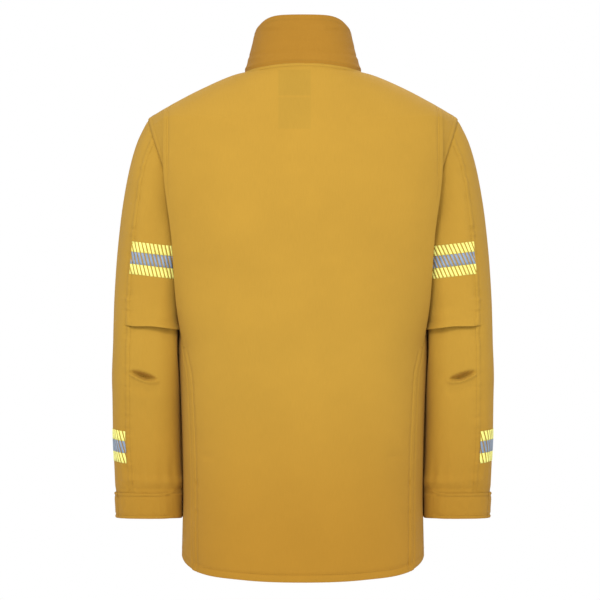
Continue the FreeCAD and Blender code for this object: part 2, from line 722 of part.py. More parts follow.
LOOP_HALF = 32.0
LOOP_DROP = 22.0
LOOP_BAND = 4.5
LOOP_THICK = 1.6
LOOP_Z = 6.0
LOOP_Y = back_y(0, 0) + CLOTH + 9.0

THROAT_TAB_ENDS = (math.radians(118), math.radians(58))
THROAT_TAB_THICK = 2.0


def neck_facing():
    """Half-moon of cloth inside the back of the neck."""

    def surface(u, v):
        x = lerp(-FACING_HALF, FACING_HALF, u)
        z = lerp(FACING_TOP_Z, lerp(FACING_END_Z, FACING_SIDE_Z, (x / FACING_HALF) ** 2), v)
        return Vector(x, back_y(x, z), z)

    near = CLOTH + FACING_LIFT
    return torso_patch(surface, steps(12), steps(5), near, near + FACING_THICK)


def neck_labels():
    """Two blank labels one above the other, sewn inside the back."""

    def label(x0, x1, z0, z1):
        def surface(u, v):
            x, z = lerp(x0, x1, u), lerp(z0, z1, v)
            return Vector(x, back_y(x, z), z)

        near = CLOTH + FACING_LIFT + FACING_THICK + LABEL_LIFT
        return torso_patch(surface, steps(3), steps(3), near, near + LABEL_THICK)

    return Part.Compound([label(LABEL_LEFT_X, LABEL_RIGHT_X, top, end) for top, end in LABEL_HEIGHTS])


def loop_outline(half, drop, top):
    """U shape with rounded corners, closed along its top."""
    bends = [math.pi * k / 6 for k in range(1, 6)]
    points = [Vector(-half, 0, top), Vector(-half, 0, -drop / 2)]
    points += [Vector(-half * math.cos(a), 0, -drop / 2 * (1 + math.sin(a))) for a in bends]
    points += [Vector(half, 0, -drop / 2), Vector(half, 0, top)]
    return Part.Face(Part.makePolygon(points + points[:1])).extrude(Vector(0, LOOP_THICK, 0))


def hanger_loop():
    """Webbing loop at the neck seam that hangs flat when it isn't on a hook."""
    outer = loop_outline(LOOP_HALF, LOOP_DROP, 0)
    ring = outer.cut(loop_outline(LOOP_HALF - LOOP_BAND, LOOP_DROP - LOOP_BAND, 1))
    ring.translate(Vector(0, LOOP_Y, LOOP_Z))
    return ring


def throat_tab():
    """Strap across the front of the collar."""
    return collar_ring(BODY_GAP + THROAT_TAB_THICK, THROAT_TAB_THICK, THROAT_TAB_ENDS, 0.28, 0.74, columns=8)


# ---- the coat ----------------------------------------------------------------------------------------
def both_sides(name, shape):
    return {f"right_{name}": shape, f"left_{name}": mirrored(shape)}


def all_pieces():
    pieces = {
        "back_panel": back_panel(),
        "collar_shell": collar_ring(0, CLOTH),
        "collar_lining": collar_ring(-CLOTH - 0.3, 1.2),
        "neck_facing": neck_facing(),
        "neck_labels": neck_labels(),
        "hanger_loop": hanger_loop(),
        "throat_tab": throat_tab(),
        "right_zip_teeth": zip_teeth(0),
        "left_zip_teeth": mirrored(zip_teeth(TOOTH_PITCH / 2)),
        "zip_box": zip_box(),
        "zip_slider": zip_slider(),
        "zip_pull": zip_pull(),
        "storm_flap": storm_flap(),
        "storm_flap_top": storm_flap_top(),
        "storm_hook_strip": hook_strip(),
        "storm_loop_strip": loop_strip(),
    }
    upper_top, upper_under = sleeve_panels(SLEEVE_START, ELBOW_SHARE - SEAM_SHARE, 9)
    lower_top, lower_under = sleeve_panels(ELBOW_SHARE + SEAM_SHARE, CUFF_SHARE - SEAM_SHARE, 5)
    under_first, under_last = BACK_SEAM - SEAM_INSET, FRONT_SEAM - FULL_TURN + SEAM_INSET
    for name, shape in {
        "pleat_gusset": pleat_gusset(),
        "side_panel": side_panel(),
        "front_panel": front_panel(),
        "front_yoke": front_yoke(),
        "zip_tape": zip_tape(),
        "upper_sleeve_top": upper_top,
        "upper_sleeve_under": upper_under,
        "forearm_top": lower_top,
        "forearm_under": lower_under,
        "arm_trim": trim_band(under_first, under_last, ARM_TRIM_Z, ARM_TRIM_TILT),
        "wrist_trim": trim_band(BACK_SEAM + SEAM_INSET, FRONT_SEAM - SEAM_INSET, WRIST_TRIM_Z, 0),
        "cuff_band": cuff_band(),
        "cuff_strap": wrist_strap(STRAP_HINGE + 0.012, STRAP_SEWN, 8),
        "cuff_tab": wrist_strap(STRAP_FREE, STRAP_HINGE, 11),
        "cuff_hooks": strap_hooks(),
        "chest_pocket": CHEST.bag(),
        "chest_flap": CHEST.flap(),
        "chest_hooks": CHEST.hooks(),
        "cargo_pocket": CARGO.bag(),
        "cargo_flap": CARGO.flap(),
        "cargo_hooks": CARGO.hooks(),
    }.items():
        pieces.update(both_sides(name, shape))
    return pieces


def main():
    os.makedirs("parts", exist_ok=True)
    for name, shape in all_pieces().items():
        if not shape.isValid() or any(not s.isClosed() or s.Volume <= 0 for s in shape.Solids):
            raise SystemExit(f"{name} is not a valid closed solid")
        shape.exportStep(f"parts/{name}.step")


main()
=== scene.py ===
"""Firefighter's coat of single-layer yellow cloth, seen from the back, in the shape it has when it is worn.

Lengths are in millimetres until a mesh is made. Meshes are in metres, and so is what joints, materials, lights
and the camera are given. The right-hand pieces are made first and mirrored for the left. +Y is the way the
wearer faces, +X is the wearer's right.
"""

import math

import bpy
import numpy as np
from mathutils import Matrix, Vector


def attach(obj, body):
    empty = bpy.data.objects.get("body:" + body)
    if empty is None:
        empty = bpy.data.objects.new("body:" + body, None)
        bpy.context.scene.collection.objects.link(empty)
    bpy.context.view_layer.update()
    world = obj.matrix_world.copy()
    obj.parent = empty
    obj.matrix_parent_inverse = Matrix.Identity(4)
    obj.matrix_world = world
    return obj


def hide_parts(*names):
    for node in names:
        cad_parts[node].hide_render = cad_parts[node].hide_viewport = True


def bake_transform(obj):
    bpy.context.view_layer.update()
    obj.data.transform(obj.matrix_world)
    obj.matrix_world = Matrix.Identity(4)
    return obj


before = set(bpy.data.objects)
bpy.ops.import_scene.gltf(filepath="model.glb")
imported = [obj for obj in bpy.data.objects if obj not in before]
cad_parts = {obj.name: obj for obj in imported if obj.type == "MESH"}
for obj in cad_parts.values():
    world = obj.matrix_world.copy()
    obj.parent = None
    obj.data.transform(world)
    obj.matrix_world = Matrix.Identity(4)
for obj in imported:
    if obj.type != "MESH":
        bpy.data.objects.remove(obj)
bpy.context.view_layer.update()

MM = 0.001

# ---- the coat's dimensions, as in its CAD source ----
NECK_HALF = 92.0
NECK_BACK_RISE = 11.0
NECK_FRONT_DROP = 82.0
TIP_X, TIP_Z = 243.0, -77.0
SHOULDER_CURVE = 1.25
UNDERARM_X, UNDERARM_Z = 182.0, -272.0
ARMHOLE_HALF_DEPTH = 64.0
PLEAT_TOP_X = 218.0
PLEAT_END_Z = -436.0
YOKE_Z = -190.0
FRONT_SEAM_X = 150.0
FRONT_DEPTH = 148.0
HEM_SIDE_Z = -759.0
HEM_BACK_DROP = 40.0
HEM_FRONT_DROP = 10.0
BACK_POWER, FRONT_POWER = 2.4, 3.0
CUFF_SHARE = 0.94           # of the sleeve's length, where the cuff band begins
COLLAR_OPENING = 0.014      # half the angle left open at the centre front
COLLAR_RIM_HALF, COLLAR_RIM_FRONT, COLLAR_RIM_BACK = 70, 86, 72     # reach of its top edge each way
COLLAR_TOP_BACK, COLLAR_TOP_SIDE, COLLAR_TOP_FRONT = 87, 66, -6     # and its height
TRIM_WIDTH = 50.8
FLAP_Y = FRONT_DEPTH + 6.0  # inside face of the storm flap
FLAP_HINGE_X, FLAP_EDGE_X = -34.0, 38.0

# sides of the sleeve: 0 is the outside of the arm, 90 degrees its front
BACK_SEAM = math.radians(-57)
FRONT_SEAM = math.radians(100)

# ---- dimensions of the meshes alone ----
SPLIT_SHARE = 0.522         # the sleeve's two meshes meet here, between the parts that bend
SLEEVE_RADIUS = 58          # a turn of one radian is about this far round the sleeve
CUFF_RADIUS = 53            # and this far round the cuff
CLOTH = 0.7                 # thickness of one layer
GRID = 3.0                  # usual spacing of a mesh's rows


# ---- numbers ----
def profile(*stations):
    """Smooth function through (position, value) pairs in rising order, level past both ends."""
    xs, ys = np.array(stations, float).T
    rise = np.diff(ys) / np.diff(xs)
    slopes = np.zeros(len(xs))
    product = rise[:-1] * rise[1:]
    slopes[1:-1] = np.where(product > 0, 2 * product / np.where(product > 0, rise[:-1] + rise[1:], 1), 0)
    slopes[0], slopes[-1] = rise[0], rise[-1]

    def value(x):
        x = np.clip(np.asarray(x, float), xs[0], xs[-1])
        i = np.clip(np.searchsorted(xs, x, side="right") - 1, 0, len(xs) - 2)
        span = xs[i + 1] - xs[i]
        t = (x - xs[i]) / span
        return (
            ys[i] * (1 + 2 * t) * (1 - t) ** 2
            + slopes[i] * span * t * (1 - t) ** 2
            + ys[i + 1] * t * t * (3 - 2 * t)
            + slopes[i + 1] * span * t * t * (t - 1)
        )

    return value


def lerp(a, b, t):
    """From a where t is 0 to b where it is 1."""
    return a + (b - a) * t


def smooth(low, high, x):
    """From 0 at low to 1 at high, which may be the smaller, and level past both."""
    t = np.clip((x - low) / (high - low), 0, 1)
    return t * t * (3 - 2 * t)


def bell(x, width):
    """1 at 0, and nearly nothing two widths away."""
    return np.exp(-((x / width) ** 2))


def noise(x, y, seed):
    """Smooth random values from -1 to 1, one knot per unit of x and y."""
    xi, yi = np.floor(x).astype(np.int64), np.floor(y).astype(np.int64)
    tx, ty = x - xi, y - yi
    tx, ty = tx * tx * (3 - 2 * tx), ty * ty * (3 - 2 * ty)

    def knot(a, b):
        h = (a * 374761393 + b * 668265263 + seed * 974634777) & 0xFFFFFFFF
        h = ((h ^ (h >> 13)) * 1274126177) & 0xFFFFFFFF
        return (h ^ (h >> 16)) / 0x7FFFFFFF - 1

    low = lerp(knot(xi, yi), knot(xi + 1, yi), tx)
    high = lerp(knot(xi, yi + 1), knot(xi + 1, yi + 1), tx)
    return lerp(low, high, ty)


def stack(*parts):
    """Points from their coordinates."""
    return np.stack(np.broadcast_arrays(*parts), axis=-1).astype(float)


def unit(v):
    """Vectors of length 1."""
    return v / np.maximum(np.linalg.norm(v, axis=-1, keepdims=True), 1e-9)


def even(length, spacing=GRID):
    """Positions from 0 to 1, about this far apart on a line of this length."""
    return np.linspace(0, 1, max(3, int(round(length / spacing)) + 1))


# ---- mesh making ----
def normals(points, closed):
    """Unit normals of a grid of points, along u cross v."""
    if closed:
        wide = np.concatenate([points[-1:], points, points[:1]])
        du = wide[2:] - wide[:-2]
    else:
        du = np.gradient(points, axis=0)
    return unit(np.cross(du, np.gradient(points, axis=1)))


def rolled(points, facing, side, radius, width):
    """The grid with one side folded under: a round edge and a return of this width."""
    axis, last = {"u0": (0, False), "u1": (0, True), "v0": (1, False), "v1": (1, True)}[side]
    grid = points if axis == 0 else points.swapaxes(0, 1)
    out = facing if axis == 0 else facing.swapaxes(0, 1)
    if not last:
        grid, out = grid[::-1], out[::-1]
    edge, n = grid[-1], unit(out[-1])
    ahead = unit(edge - grid[-2])
    bend = np.linspace(0, math.pi, 6)[1:]
    extra = [edge + radius * (math.sin(a) * ahead - (1 - math.cos(a)) * n) for a in bend]
    run = np.cumsum(np.linalg.norm(np.diff(grid[::-1], axis=0), axis=-1).mean(axis=1))
    for k, distance in enumerate(run):
        if distance > width:
            break
        extra.append(grid[-2 - k] - 2 * radius * unit(out[-2 - k]))
    grid = np.concatenate([grid, np.array(extra)])
    if not last:
        grid = grid[::-1]
    return grid if axis == 0 else grid.swapaxes(0, 1)


SHADING = {}    # of the pieces that have shading normals of their own


def shade(obj, directions):
    """Gives every vertex of a mesh its own shading normal."""
    SHADING[obj.name] = directions
    obj.data.normals_split_custom_set_from_vertices(directions.tolist())


def shell(name, points, material, thick, closed=False, outward=1.0):
    """Mesh object of a thin closed shell, whose outer side is this grid of points."""
    n = normals(points, closed) * outward
    wide, high = points.shape[:2]
    half = wide * high
    coords = np.concatenate([points.reshape(-1, 3), (points - n * thick).reshape(-1, 3)]) * MM
    i = np.arange(wide if closed else wide - 1)[:, None]
    k = np.arange(high - 1)[None, :]
    j = (i + 1) % wide
    a, b, c, d = i * high + k, j * high + k, j * high + k + 1, i * high + k + 1
    outer = np.stack([a, b, c, d], -1).reshape(-1, 4)
    inner = np.stack([a, d, c, b], -1).reshape(-1, 4) + half
    rims = []
    for row in (0, high - 1):
        p, q = (i * high + row).ravel(), (j * high + row).ravel()
        r = np.stack([p, p + half, q + half, q], -1)
        rims.append(r if row == 0 else r[:, ::-1])
    if not closed:
        for column in (0, wide - 1):
            p = column * high + np.arange(high - 1)
            r = np.stack([p, p + 1, p + 1 + half, p + half], -1)
            rims.append(r if column == 0 else r[:, ::-1])
    faces = np.concatenate([outer, inner] + rims)
    if outward < 0:
        faces = faces[:, ::-1]
    flat_from = len(outer) * 2

    mesh = bpy.data.meshes.new(name)
    mesh.vertices.add(len(coords))
    mesh.vertices.foreach_set("co", coords.ravel())
    mesh.loops.add(faces.size)
    mesh.loops.foreach_set("vertex_index", faces.ravel())
    mesh.polygons.add(len(faces))
    mesh.polygons.foreach_set("loop_start", np.arange(0, faces.size, 4))
    mesh.polygons.foreach_set("use_smooth", np.arange(len(faces)) < flat_from)
    along_u = np.zeros((wide, high))
    along_v = np.zeros((wide, high))
    along_u[1:] = np.cumsum(np.linalg.norm(np.diff(points, axis=0), axis=-1).mean(axis=1))[:, None]
    along_v[:, 1:] = np.cumsum(np.linalg.norm(np.diff(points, axis=1), axis=-1).mean(axis=0))[None, :]
    uv = np.stack([along_u.ravel(), along_v.ravel()], -1) * MM
    uv = np.concatenate([uv, uv])[faces.ravel()]
    layer = mesh.uv_layers.new(name="UVMap")
    layer.data.foreach_set("uv", uv.ravel())
    mesh.update(calc_edges=True)
    mesh.validate()
    mesh.materials.append(material)
    obj = bpy.data.objects.new(name, mesh)
    bpy.context.collection.objects.link(obj)
    return obj


def soup(name, groups, material):
    """Mesh object of many small separate solids, each (points, faces)."""
    verts, faces, start = [], [], 0
    for points, polys in groups:
        verts.append(np.asarray(points).reshape(-1, 3))
        faces += [[start + v for v in poly] for poly in polys]
        start += len(verts[-1])
    mesh = bpy.data.meshes.new(name)
    mesh.from_pydata((np.concatenate(verts) * MM).tolist(), [], faces)
    mesh.polygons.foreach_set("use_smooth", np.ones(len(faces), bool))
    mesh.materials.append(material)
    obj = bpy.data.objects.new(name, mesh)
    bpy.context.collection.objects.link(obj)
    return obj


shoulder_lift = profile(
    (60, 0), (92, 0.3), (110, 1.3), (150, 2.3), (190, 3.6), (218, 4.4), (243, 2.8), (265, 1.3), (290, 0)
)


def worn(p):
    """The shape as worn: the ends of the shoulders stand a little fuller than in the CAD."""
    x, z = np.abs(p[..., 0]), p[..., 2]
    p = p.copy()
    p[..., 2] += shoulder_lift(x) * smooth(-170, -60, z)
    p[..., 0] += np.sign(p[..., 0]) * 2.8 * bell(z + 100, 50) * smooth(190, 240, x)
    return p


def cut_size(points, closed):
    """((width, length), area) in metres of the flat piece of cloth that a grid was cut as."""
    if closed:
        points = np.concatenate([points, points[:1]])
    wide = np.linalg.norm(np.diff(points, axis=0), axis=-1).sum(axis=0).max()
    long = np.linalg.norm(np.diff(points, axis=1), axis=-1).sum(axis=1).max()
    a = points[1:, 1:] - points[:-1, :-1]
    b = points[1:, :-1] - points[:-1, 1:]
    area = np.linalg.norm(np.cross(a, b), axis=-1).sum() / 2
    return (round(wide * MM, 3), round(long * MM, 3)), round(area * MM * MM, 5)


class Surface:
    """A displaced grid that other things, such as stitches, are laid on."""

    def __init__(self, us, vs, base, reference, closed=False):
        self.us, self.vs, self.closed = us, vs, closed
        u, v = np.meshgrid(us, vs, indexing="ij")
        self.points = worn(base(u, v))
        n = normals(self.points, closed)
        self.sign = 1.0 if ((self.points - np.array(reference)) * n).sum(axis=-1).mean() > 0 else -1.0
        self.facing = n * self.sign
        self.u, self.v = u, v

    def push(self, amount):
        """Moves the surface outward by an amount per point."""
        self.points = self.points + self.facing * np.asarray(amount)[..., None]
        self.facing = normals(self.points, self.closed) * self.sign
        return self

    def at(self, us, vs, out=0.0):
        """Points on the surface, and its facing there, at these (u, v)."""
        across = np.interp(us, self.us, np.arange(len(self.us)))
        along = np.interp(vs, self.vs, np.arange(len(self.vs)))
        i = np.minimum(across.astype(int), len(self.us) - 2)
        k = np.minimum(along.astype(int), len(self.vs) - 2)
        s, t = (across - i)[..., None], (along - k)[..., None]

        def mix(a):
            return lerp(lerp(a[i, k], a[i + 1, k], s), lerp(a[i, k + 1], a[i + 1, k + 1], s), t)

        facing = unit(mix(self.facing))
        return mix(self.points) + facing * out, facing

    def make(self, name, material, rolls=(), thick=CLOTH):
        """Mesh object of the surface, with these sides folded under: (side, radius, width)."""
        points, facing = self.points, self.facing
        for side, radius, width in rolls:
            points = rolled(points, facing, side, radius, width)
            facing = normals(points, self.closed) * self.sign
        self.cut = cut_size(points, self.closed)
        return shell(name, points, material, thick, self.closed, self.sign)


STITCH_PITCH, STITCH_LENGTH, THREAD, THREAD_LIFT = 3.4, 2.6, 0.30, 0.05


def stitches(surface, us, vs):
    """One row of thread along a line of (u, v) on a surface."""
    us, vs = np.broadcast_arrays(np.asarray(us, float), np.asarray(vs, float))
    line, facing = surface.at(us, vs, THREAD_LIFT)
    run = np.concatenate([[0], np.cumsum(np.linalg.norm(np.diff(line, axis=0), axis=-1))])
    groups = []
    for start in np.arange(STITCH_PITCH / 2, run[-1] - STITCH_LENGTH, STITCH_PITCH):
        spots = start + STITCH_LENGTH * np.array([0, 0.5, 1])
        centre = np.stack([np.interp(spots, run, line[:, c]) for c in range(3)], -1)
        n = unit(np.array([np.interp(spots[1], run, facing[:, c]) for c in range(3)]))
        along = unit(centre[2] - centre[0])
        side = np.cross(n, along)
        rings = []
        for c, size in zip(centre, (0.35, 1.0, 0.35)):
            for a in np.arange(4) * math.pi / 2:
                rings.append(c + THREAD * size * (math.cos(a) * side + 0.8 * math.sin(a) * n))
        faces = [
            [4 * r + a, 4 * r + (a + 1) % 4, 4 * r + 4 + (a + 1) % 4, 4 * r + 4 + a]
            for r in (0, 1)
            for a in range(4)
        ]
        groups.append((np.array(rings), faces + [[3, 2, 1, 0], [8, 9, 10, 11]]))
    return groups


def mirrored(obj, name):
    """Copy of a mesh for the other side of the coat."""
    mesh = obj.data.copy()
    coords = np.empty(len(mesh.vertices) * 3)
    mesh.vertices.foreach_get("co", coords)
    coords[::3] *= -1
    mesh.vertices.foreach_set("co", coords)
    mesh.flip_normals()
    mesh.update()
    copy = bpy.data.objects.new(name, mesh)
    bpy.context.collection.objects.link(copy)
    if obj.name in SHADING:
        shade(copy, SHADING[obj.name] * np.array([-1, 1, 1]))
    return copy


# ---- materials ----
class Nodes:
    """Short way to build a node material."""

    def __init__(self, name):
        self.material = bpy.data.materials.new(name)
        self.material.use_nodes = True
        self.tree = self.material.node_tree
        self.shader = self.tree.nodes["Principled BSDF"]
        self.place = self.add("ShaderNodeTexCoord").outputs["Object"]

    def add(self, kind, **values):
        node = self.tree.nodes.new(kind)
        for key, value in values.items():
            if key in node.inputs:
                node.inputs[key].default_value = value
            else:
                setattr(node, key, value)
        return node

    def link(self, source, target):
        self.tree.links.new(source, target)

    def maths(self, operation, a, b=None):
        node = self.add("ShaderNodeMath", operation=operation)
        for socket, value in zip(node.inputs, (a, b)):
            if value is None:
                continue
            if isinstance(value, (int, float)):
                socket.default_value = value
            else:
                self.link(value, socket)
        return node.outputs[0]

    def noise(self, place, **values):
        node = self.add("ShaderNodeTexNoise", **values)
        self.link(place, node.inputs["Vector"])
        return node.outputs["Fac"]

    def ease(self, value, low, high):
        """From 0 at low to 1 at high, smoothly."""
        node = self.add("ShaderNodeMapRange", interpolation_type="SMOOTHSTEP")
        node.inputs["From Min"].default_value, node.inputs["From Max"].default_value = low, high
        self.link(value, node.inputs["Value"])
        return node.outputs[0]

    def between(self, factor, low, high, ends=(0, 1)):
        """Colour between two."""
        node = self.add("ShaderNodeValToRGB")
        for element, position, colour in zip(node.color_ramp.elements, ends, (low, high)):
            element.position, element.color = position, (*colour, 1)
        self.link(factor, node.inputs["Fac"])
        return node.outputs["Color"]

    def tinted(self, colour, tint, factor):
        """Colour multiplied by a tint."""
        node = self.add("ShaderNodeMix", data_type="RGBA", blend_type="MULTIPLY")
        self.link(factor, node.inputs["Factor"])
        self.link(colour, node.inputs["A"])
        node.inputs["B"].default_value = (*tint, 1)
        return node.outputs["Result"]

    def bump(self, height, strength, distance):
        node = self.add("ShaderNodeBump", Strength=strength, Distance=distance)
        self.link(height, node.inputs["Height"])
        self.link(node.outputs[0], self.shader.inputs["Normal"])


def linear(r, g, b):
    """Linear colour of an sRGB one given from 0 to 255."""
    return tuple(((c / 255 + 0.055) / 1.055) ** 2.4 if c > 10 else c / 255 / 12.92 for c in (r, g, b))


def weave_height(nodes, pitch, twill):
    """Height of a woven surface whose threads are this far apart, in metres along the cloth."""
    uv = nodes.add("ShaderNodeUVMap").outputs[0]
    split = nodes.add("ShaderNodeSeparateXYZ")
    nodes.link(uv, split.inputs[0])
    turn = 2 * math.pi / pitch
    across = nodes.maths("MULTIPLY", split.outputs[0], turn)
    along = nodes.maths("MULTIPLY", split.outputs[1], turn)
    threads = nodes.maths("MULTIPLY", nodes.maths("SINE", across), nodes.maths("SINE", along))
    diagonal = nodes.maths("SINE", nodes.maths("MULTIPLY", nodes.maths("ADD", across, along), 0.5))
    return nodes.maths("ADD", threads, nodes.maths("MULTIPLY", diagonal, twill)), uv


def painted_shade_below(nodes, colour):
    """Painted shade: a deeper tone that grows from the waist to the hem and cuffs, for the look; the real dye
    may be even.
    """
    split = nodes.add("ShaderNodeSeparateXYZ")
    nodes.link(nodes.place, split.inputs[0])
    return nodes.tinted(colour, (0.90, 0.80, 0.66), nodes.ease(split.outputs[2], -0.42, -0.80))


def fabric(
    name, colour, pitch=0.0007, twill=0.6, depth=0.00012, rough=0.86, sheen=0.03, vary=0.07, extra=None
):
    """Woven cloth: a weave, a slub that follows the threads, soft patches of a slightly deeper tone, and
    painted shade towards the hem and cuffs.
    """
    nodes = Nodes(name)
    height, uv = weave_height(nodes, pitch, twill)
    stretch = nodes.add("ShaderNodeMapping")
    stretch.inputs["Scale"].default_value = (900.0, 60.0, 1.0)
    nodes.link(uv, stretch.inputs["Vector"])
    patches = nodes.noise(nodes.place, Scale=9.0, Detail=3.0, Roughness=0.55)
    slub = nodes.noise(stretch.outputs[0], Scale=1.0, Detail=2.0)
    fibres = nodes.noise(nodes.place, Scale=1400.0, Detail=2.0)
    tone = nodes.maths("ADD", nodes.maths("MULTIPLY", patches, 0.5), nodes.maths("MULTIPLY", slub, 0.3))
    tone = nodes.maths("ADD", tone, nodes.maths("MULTIPLY", fibres, 0.2))
    base = np.array(colour)
    # painted shade: the colour is made deeper from the waist down to the hem and cuffs
    shown = painted_shade_below(nodes, nodes.between(tone, base * (1 - vary), base * (1 + vary), (0.3, 0.7)))
    if extra:
        shown = extra(nodes, shown)
    nodes.link(shown, nodes.shader.inputs["Base Color"])
    nodes.bump(nodes.maths("ADD", height, nodes.maths("MULTIPLY", slub, 1.5)), 0.5, depth)
    nodes.shader.inputs["Roughness"].default_value = rough
    nodes.shader.inputs["Specular IOR Level"].default_value = 0.1
    nodes.shader.inputs["Sheen Weight"].default_value = sheen
    nodes.shader.inputs["Sheen Roughness"].default_value = 0.5
    return nodes.material


def metal(name, colour, rough):
    """Metal with a fine grain in its tone and polish."""
    nodes = Nodes(name)
    grain = nodes.noise(nodes.place, Scale=700.0, Detail=3.0)
    spread = nodes.add("ShaderNodeMapRange")
    spread.inputs["To Min"].default_value, spread.inputs["To Max"].default_value = rough - 0.08, rough + 0.1
    nodes.link(grain, spread.inputs["Value"])
    nodes.link(spread.outputs[0], nodes.shader.inputs["Roughness"])
    tone = nodes.between(grain, np.array(colour) * 0.8, colour)
    nodes.link(tone, nodes.shader.inputs["Base Color"])
    nodes.shader.inputs["Metallic"].default_value = 1.0
    return nodes.material


def film(name, colour, rough):
    """Heat-applied trim film: fine glass-bead grain."""
    nodes = Nodes(name)
    beads = nodes.add("ShaderNodeTexVoronoi", Scale=3500.0)
    nodes.link(nodes.place, beads.inputs["Vector"])
    patches = nodes.noise(nodes.place, Scale=60.0, Detail=2.0)
    base = np.array(colour)
    tone = nodes.between(patches, base * 0.86, np.minimum(base * 1.1, 1.0), (0.35, 0.65))
    nodes.link(tone, nodes.shader.inputs["Base Color"])
    nodes.bump(beads.outputs["Distance"], 0.3, 0.00005)
    nodes.shader.inputs["Roughness"].default_value = rough
    return nodes.material


def label_shadow(nodes, colour):
    """Two labels sewn inside the back show through it as faint cooler rectangles."""
    split = nodes.add("ShaderNodeSeparateXYZ")
    nodes.link(nodes.place, split.inputs[0])

    def within(value, low, high, soft=0.0015):
        fall = nodes.ease(value, high + soft, high - soft)
        return nodes.maths("MULTIPLY", nodes.ease(value, low - soft, low + soft), fall)

    wide = within(split.outputs[0], -0.0385, 0.012)
    upper = within(split.outputs[2], -0.041, 0.000)
    lower = within(split.outputs[2], -0.094, -0.044)
    behind = within(split.outputs[1], -0.5, -0.02)
    factor = nodes.maths("MULTIPLY", wide, nodes.maths("ADD", upper, nodes.maths("MULTIPLY", lower, 0.75)))
    factor = nodes.maths("MULTIPLY", nodes.maths("MULTIPLY", factor, behind), 0.5)
    return nodes.tinted(colour, (0.85, 0.90, 0.93), factor)


OCHRE = (0.438, 0.247, 0.0325)


def ochre(share):
    """The cloth's colour, made deeper."""
    return tuple(share * c for c in OCHRE)


SHELL = fabric("yellow_cloth", OCHRE)
SHELL_BACK = fabric("yellow_cloth_over_labels", OCHRE, extra=label_shadow)
# painted shade: the collar is coloured deeper than the rest of the cloth, as if it were in shade
COLLAR = fabric("collar_cloth_tone", (0.348, 0.168, 0.019))
LINING = fabric("collar_lining", ochre(0.93), pitch=0.0006, twill=0.2)
# painted shade: the thread is coloured darker than the cloth, standing in for the shade in its stitch holes
THREAD_MATERIAL = fabric("sewing_thread", ochre(0.74), pitch=0.0004, depth=0.00003, rough=0.6)
TAPE = fabric("zip_tape", ochre(0.7), pitch=0.0009, twill=1.0)
WEBBING = fabric("webbing", ochre(0.85), pitch=0.0016, twill=1.0, depth=0.0003)
NAP = fabric("hook_and_loop", ochre(0.78), pitch=0.0016, twill=0.1, depth=0.0006, rough=0.95, sheen=0.4)
LABEL = fabric("blank_label", linear(226, 228, 214), pitch=0.0005, vary=0.03)
LEMON = film("trim_lemon", linear(246, 242, 128), 0.45)
SILVER = film("trim_silver", linear(132, 150, 172), 0.38)
BRASS = metal("zip_brass", linear(196, 158, 86), 0.34)


# ---- torso shape ----
back_depth = profile(
    (HEM_SIDE_Z - HEM_BACK_DROP, 141), (-660, 142), (PLEAT_END_Z, 145), (-267, 146), (-150, 137),
    (TIP_Z, 121), (-40, 106), (0, 86), (NECK_BACK_RISE, 84),
)
front_depth = profile(
    (YOKE_Z - 12, FRONT_DEPTH), (YOKE_Z, 147.5), (-155, 136), (-120, 115), (-NECK_FRONT_DROP, 90), (-40, 55),
    (0, 34),
)
BODY_WIDTHS = (
    (HEM_SIDE_Z, 191.5), (-720, 191), (-675, 190), (-597, 191), (-518, 193.5), (-487, 195),
    (PLEAT_END_Z, 197.5),
)
side_half_width = profile(*BODY_WIDTHS, (-361, 191), (UNDERARM_Z, UNDERARM_X))
cape_half_width = profile(*BODY_WIDTHS, (-361, 215), (-267, 235), (-150, 251), (TIP_Z, TIP_X))
pleat_edge = profile(
    (HEM_SIDE_Z - HEM_BACK_DROP, 173), (-660, 174), (-487, 180), (PLEAT_END_Z, 189), (-361, 200), (-267, 206),
    (-150, 218.5), (TIP_Z, PLEAT_TOP_X),
)


def oval(x, half_width, half_depth, power):
    """Depth of a squared-off oval at a distance from its middle."""
    share = np.clip(np.abs(x) / half_width, 0, 1)
    return half_depth * (1 - share ** power) ** (1 / power)


def shoulder_x(z):
    """Where the shoulder seam is at this height."""
    return NECK_HALF + (TIP_X - NECK_HALF) * np.maximum(0, z / TIP_Z) ** (1 / SHOULDER_CURVE)


def shoulder_z(x):
    """Height of the shoulder seam."""
    return TIP_Z * np.maximum(0, (np.abs(x) - NECK_HALF) / (TIP_X - NECK_HALF)) ** SHOULDER_CURVE


def armhole_x(z):
    """Where the armhole's seam is at this height, from the middle of the coat."""
    return lerp(UNDERARM_X, TIP_X, (z - UNDERARM_Z) / (TIP_Z - UNDERARM_Z))


def armhole_y(z):
    """And how far it is in front of the shoulder tip, or behind it."""
    height = (z - (TIP_Z + UNDERARM_Z) / 2) / ((TIP_Z - UNDERARM_Z) / 2)
    return ARMHOLE_HALF_DEPTH * np.sqrt(np.maximum(0, 1 - height * height))


def front_half_width(z):
    """Half the width of the front's cross-section, which passes through the armhole's seam."""
    share = np.clip(armhole_y(z) / front_depth(z), 0, 0.99)
    middle = armhole_x(z) / (1 - share ** FRONT_POWER) ** (1 / FRONT_POWER)
    wide = np.where(z <= UNDERARM_Z, side_half_width(z), middle)
    return np.where(z >= TIP_Z, np.maximum(NECK_HALF, shoulder_x(z)), wide)


def front_y(x, z):
    """How far forward the front of the coat is."""
    return oval(x, front_half_width(z), front_depth(z), FRONT_POWER)


def back_y(x, z):
    """How far back its back is, as a negative number."""
    width = np.where(z >= TIP_Z, np.maximum(NECK_HALF, shoulder_x(z)), cape_half_width(z))
    return -oval(x, width, back_depth(z), BACK_POWER)


def hem_z(y):
    """Height of the hem."""
    back = HEM_SIDE_Z - HEM_BACK_DROP * np.clip(-y / back_depth(HEM_SIDE_Z), 0, 1)
    front = HEM_SIDE_Z - HEM_FRONT_DROP * np.clip(y / FRONT_DEPTH, 0, 1) ** 1.5
    return np.where(y < 0, back, front)


def back_neck_z(x):
    """Height of the neck seam at the back."""
    return NECK_BACK_RISE * (1 - np.minimum(1, np.abs(x) / NECK_HALF) ** 2)


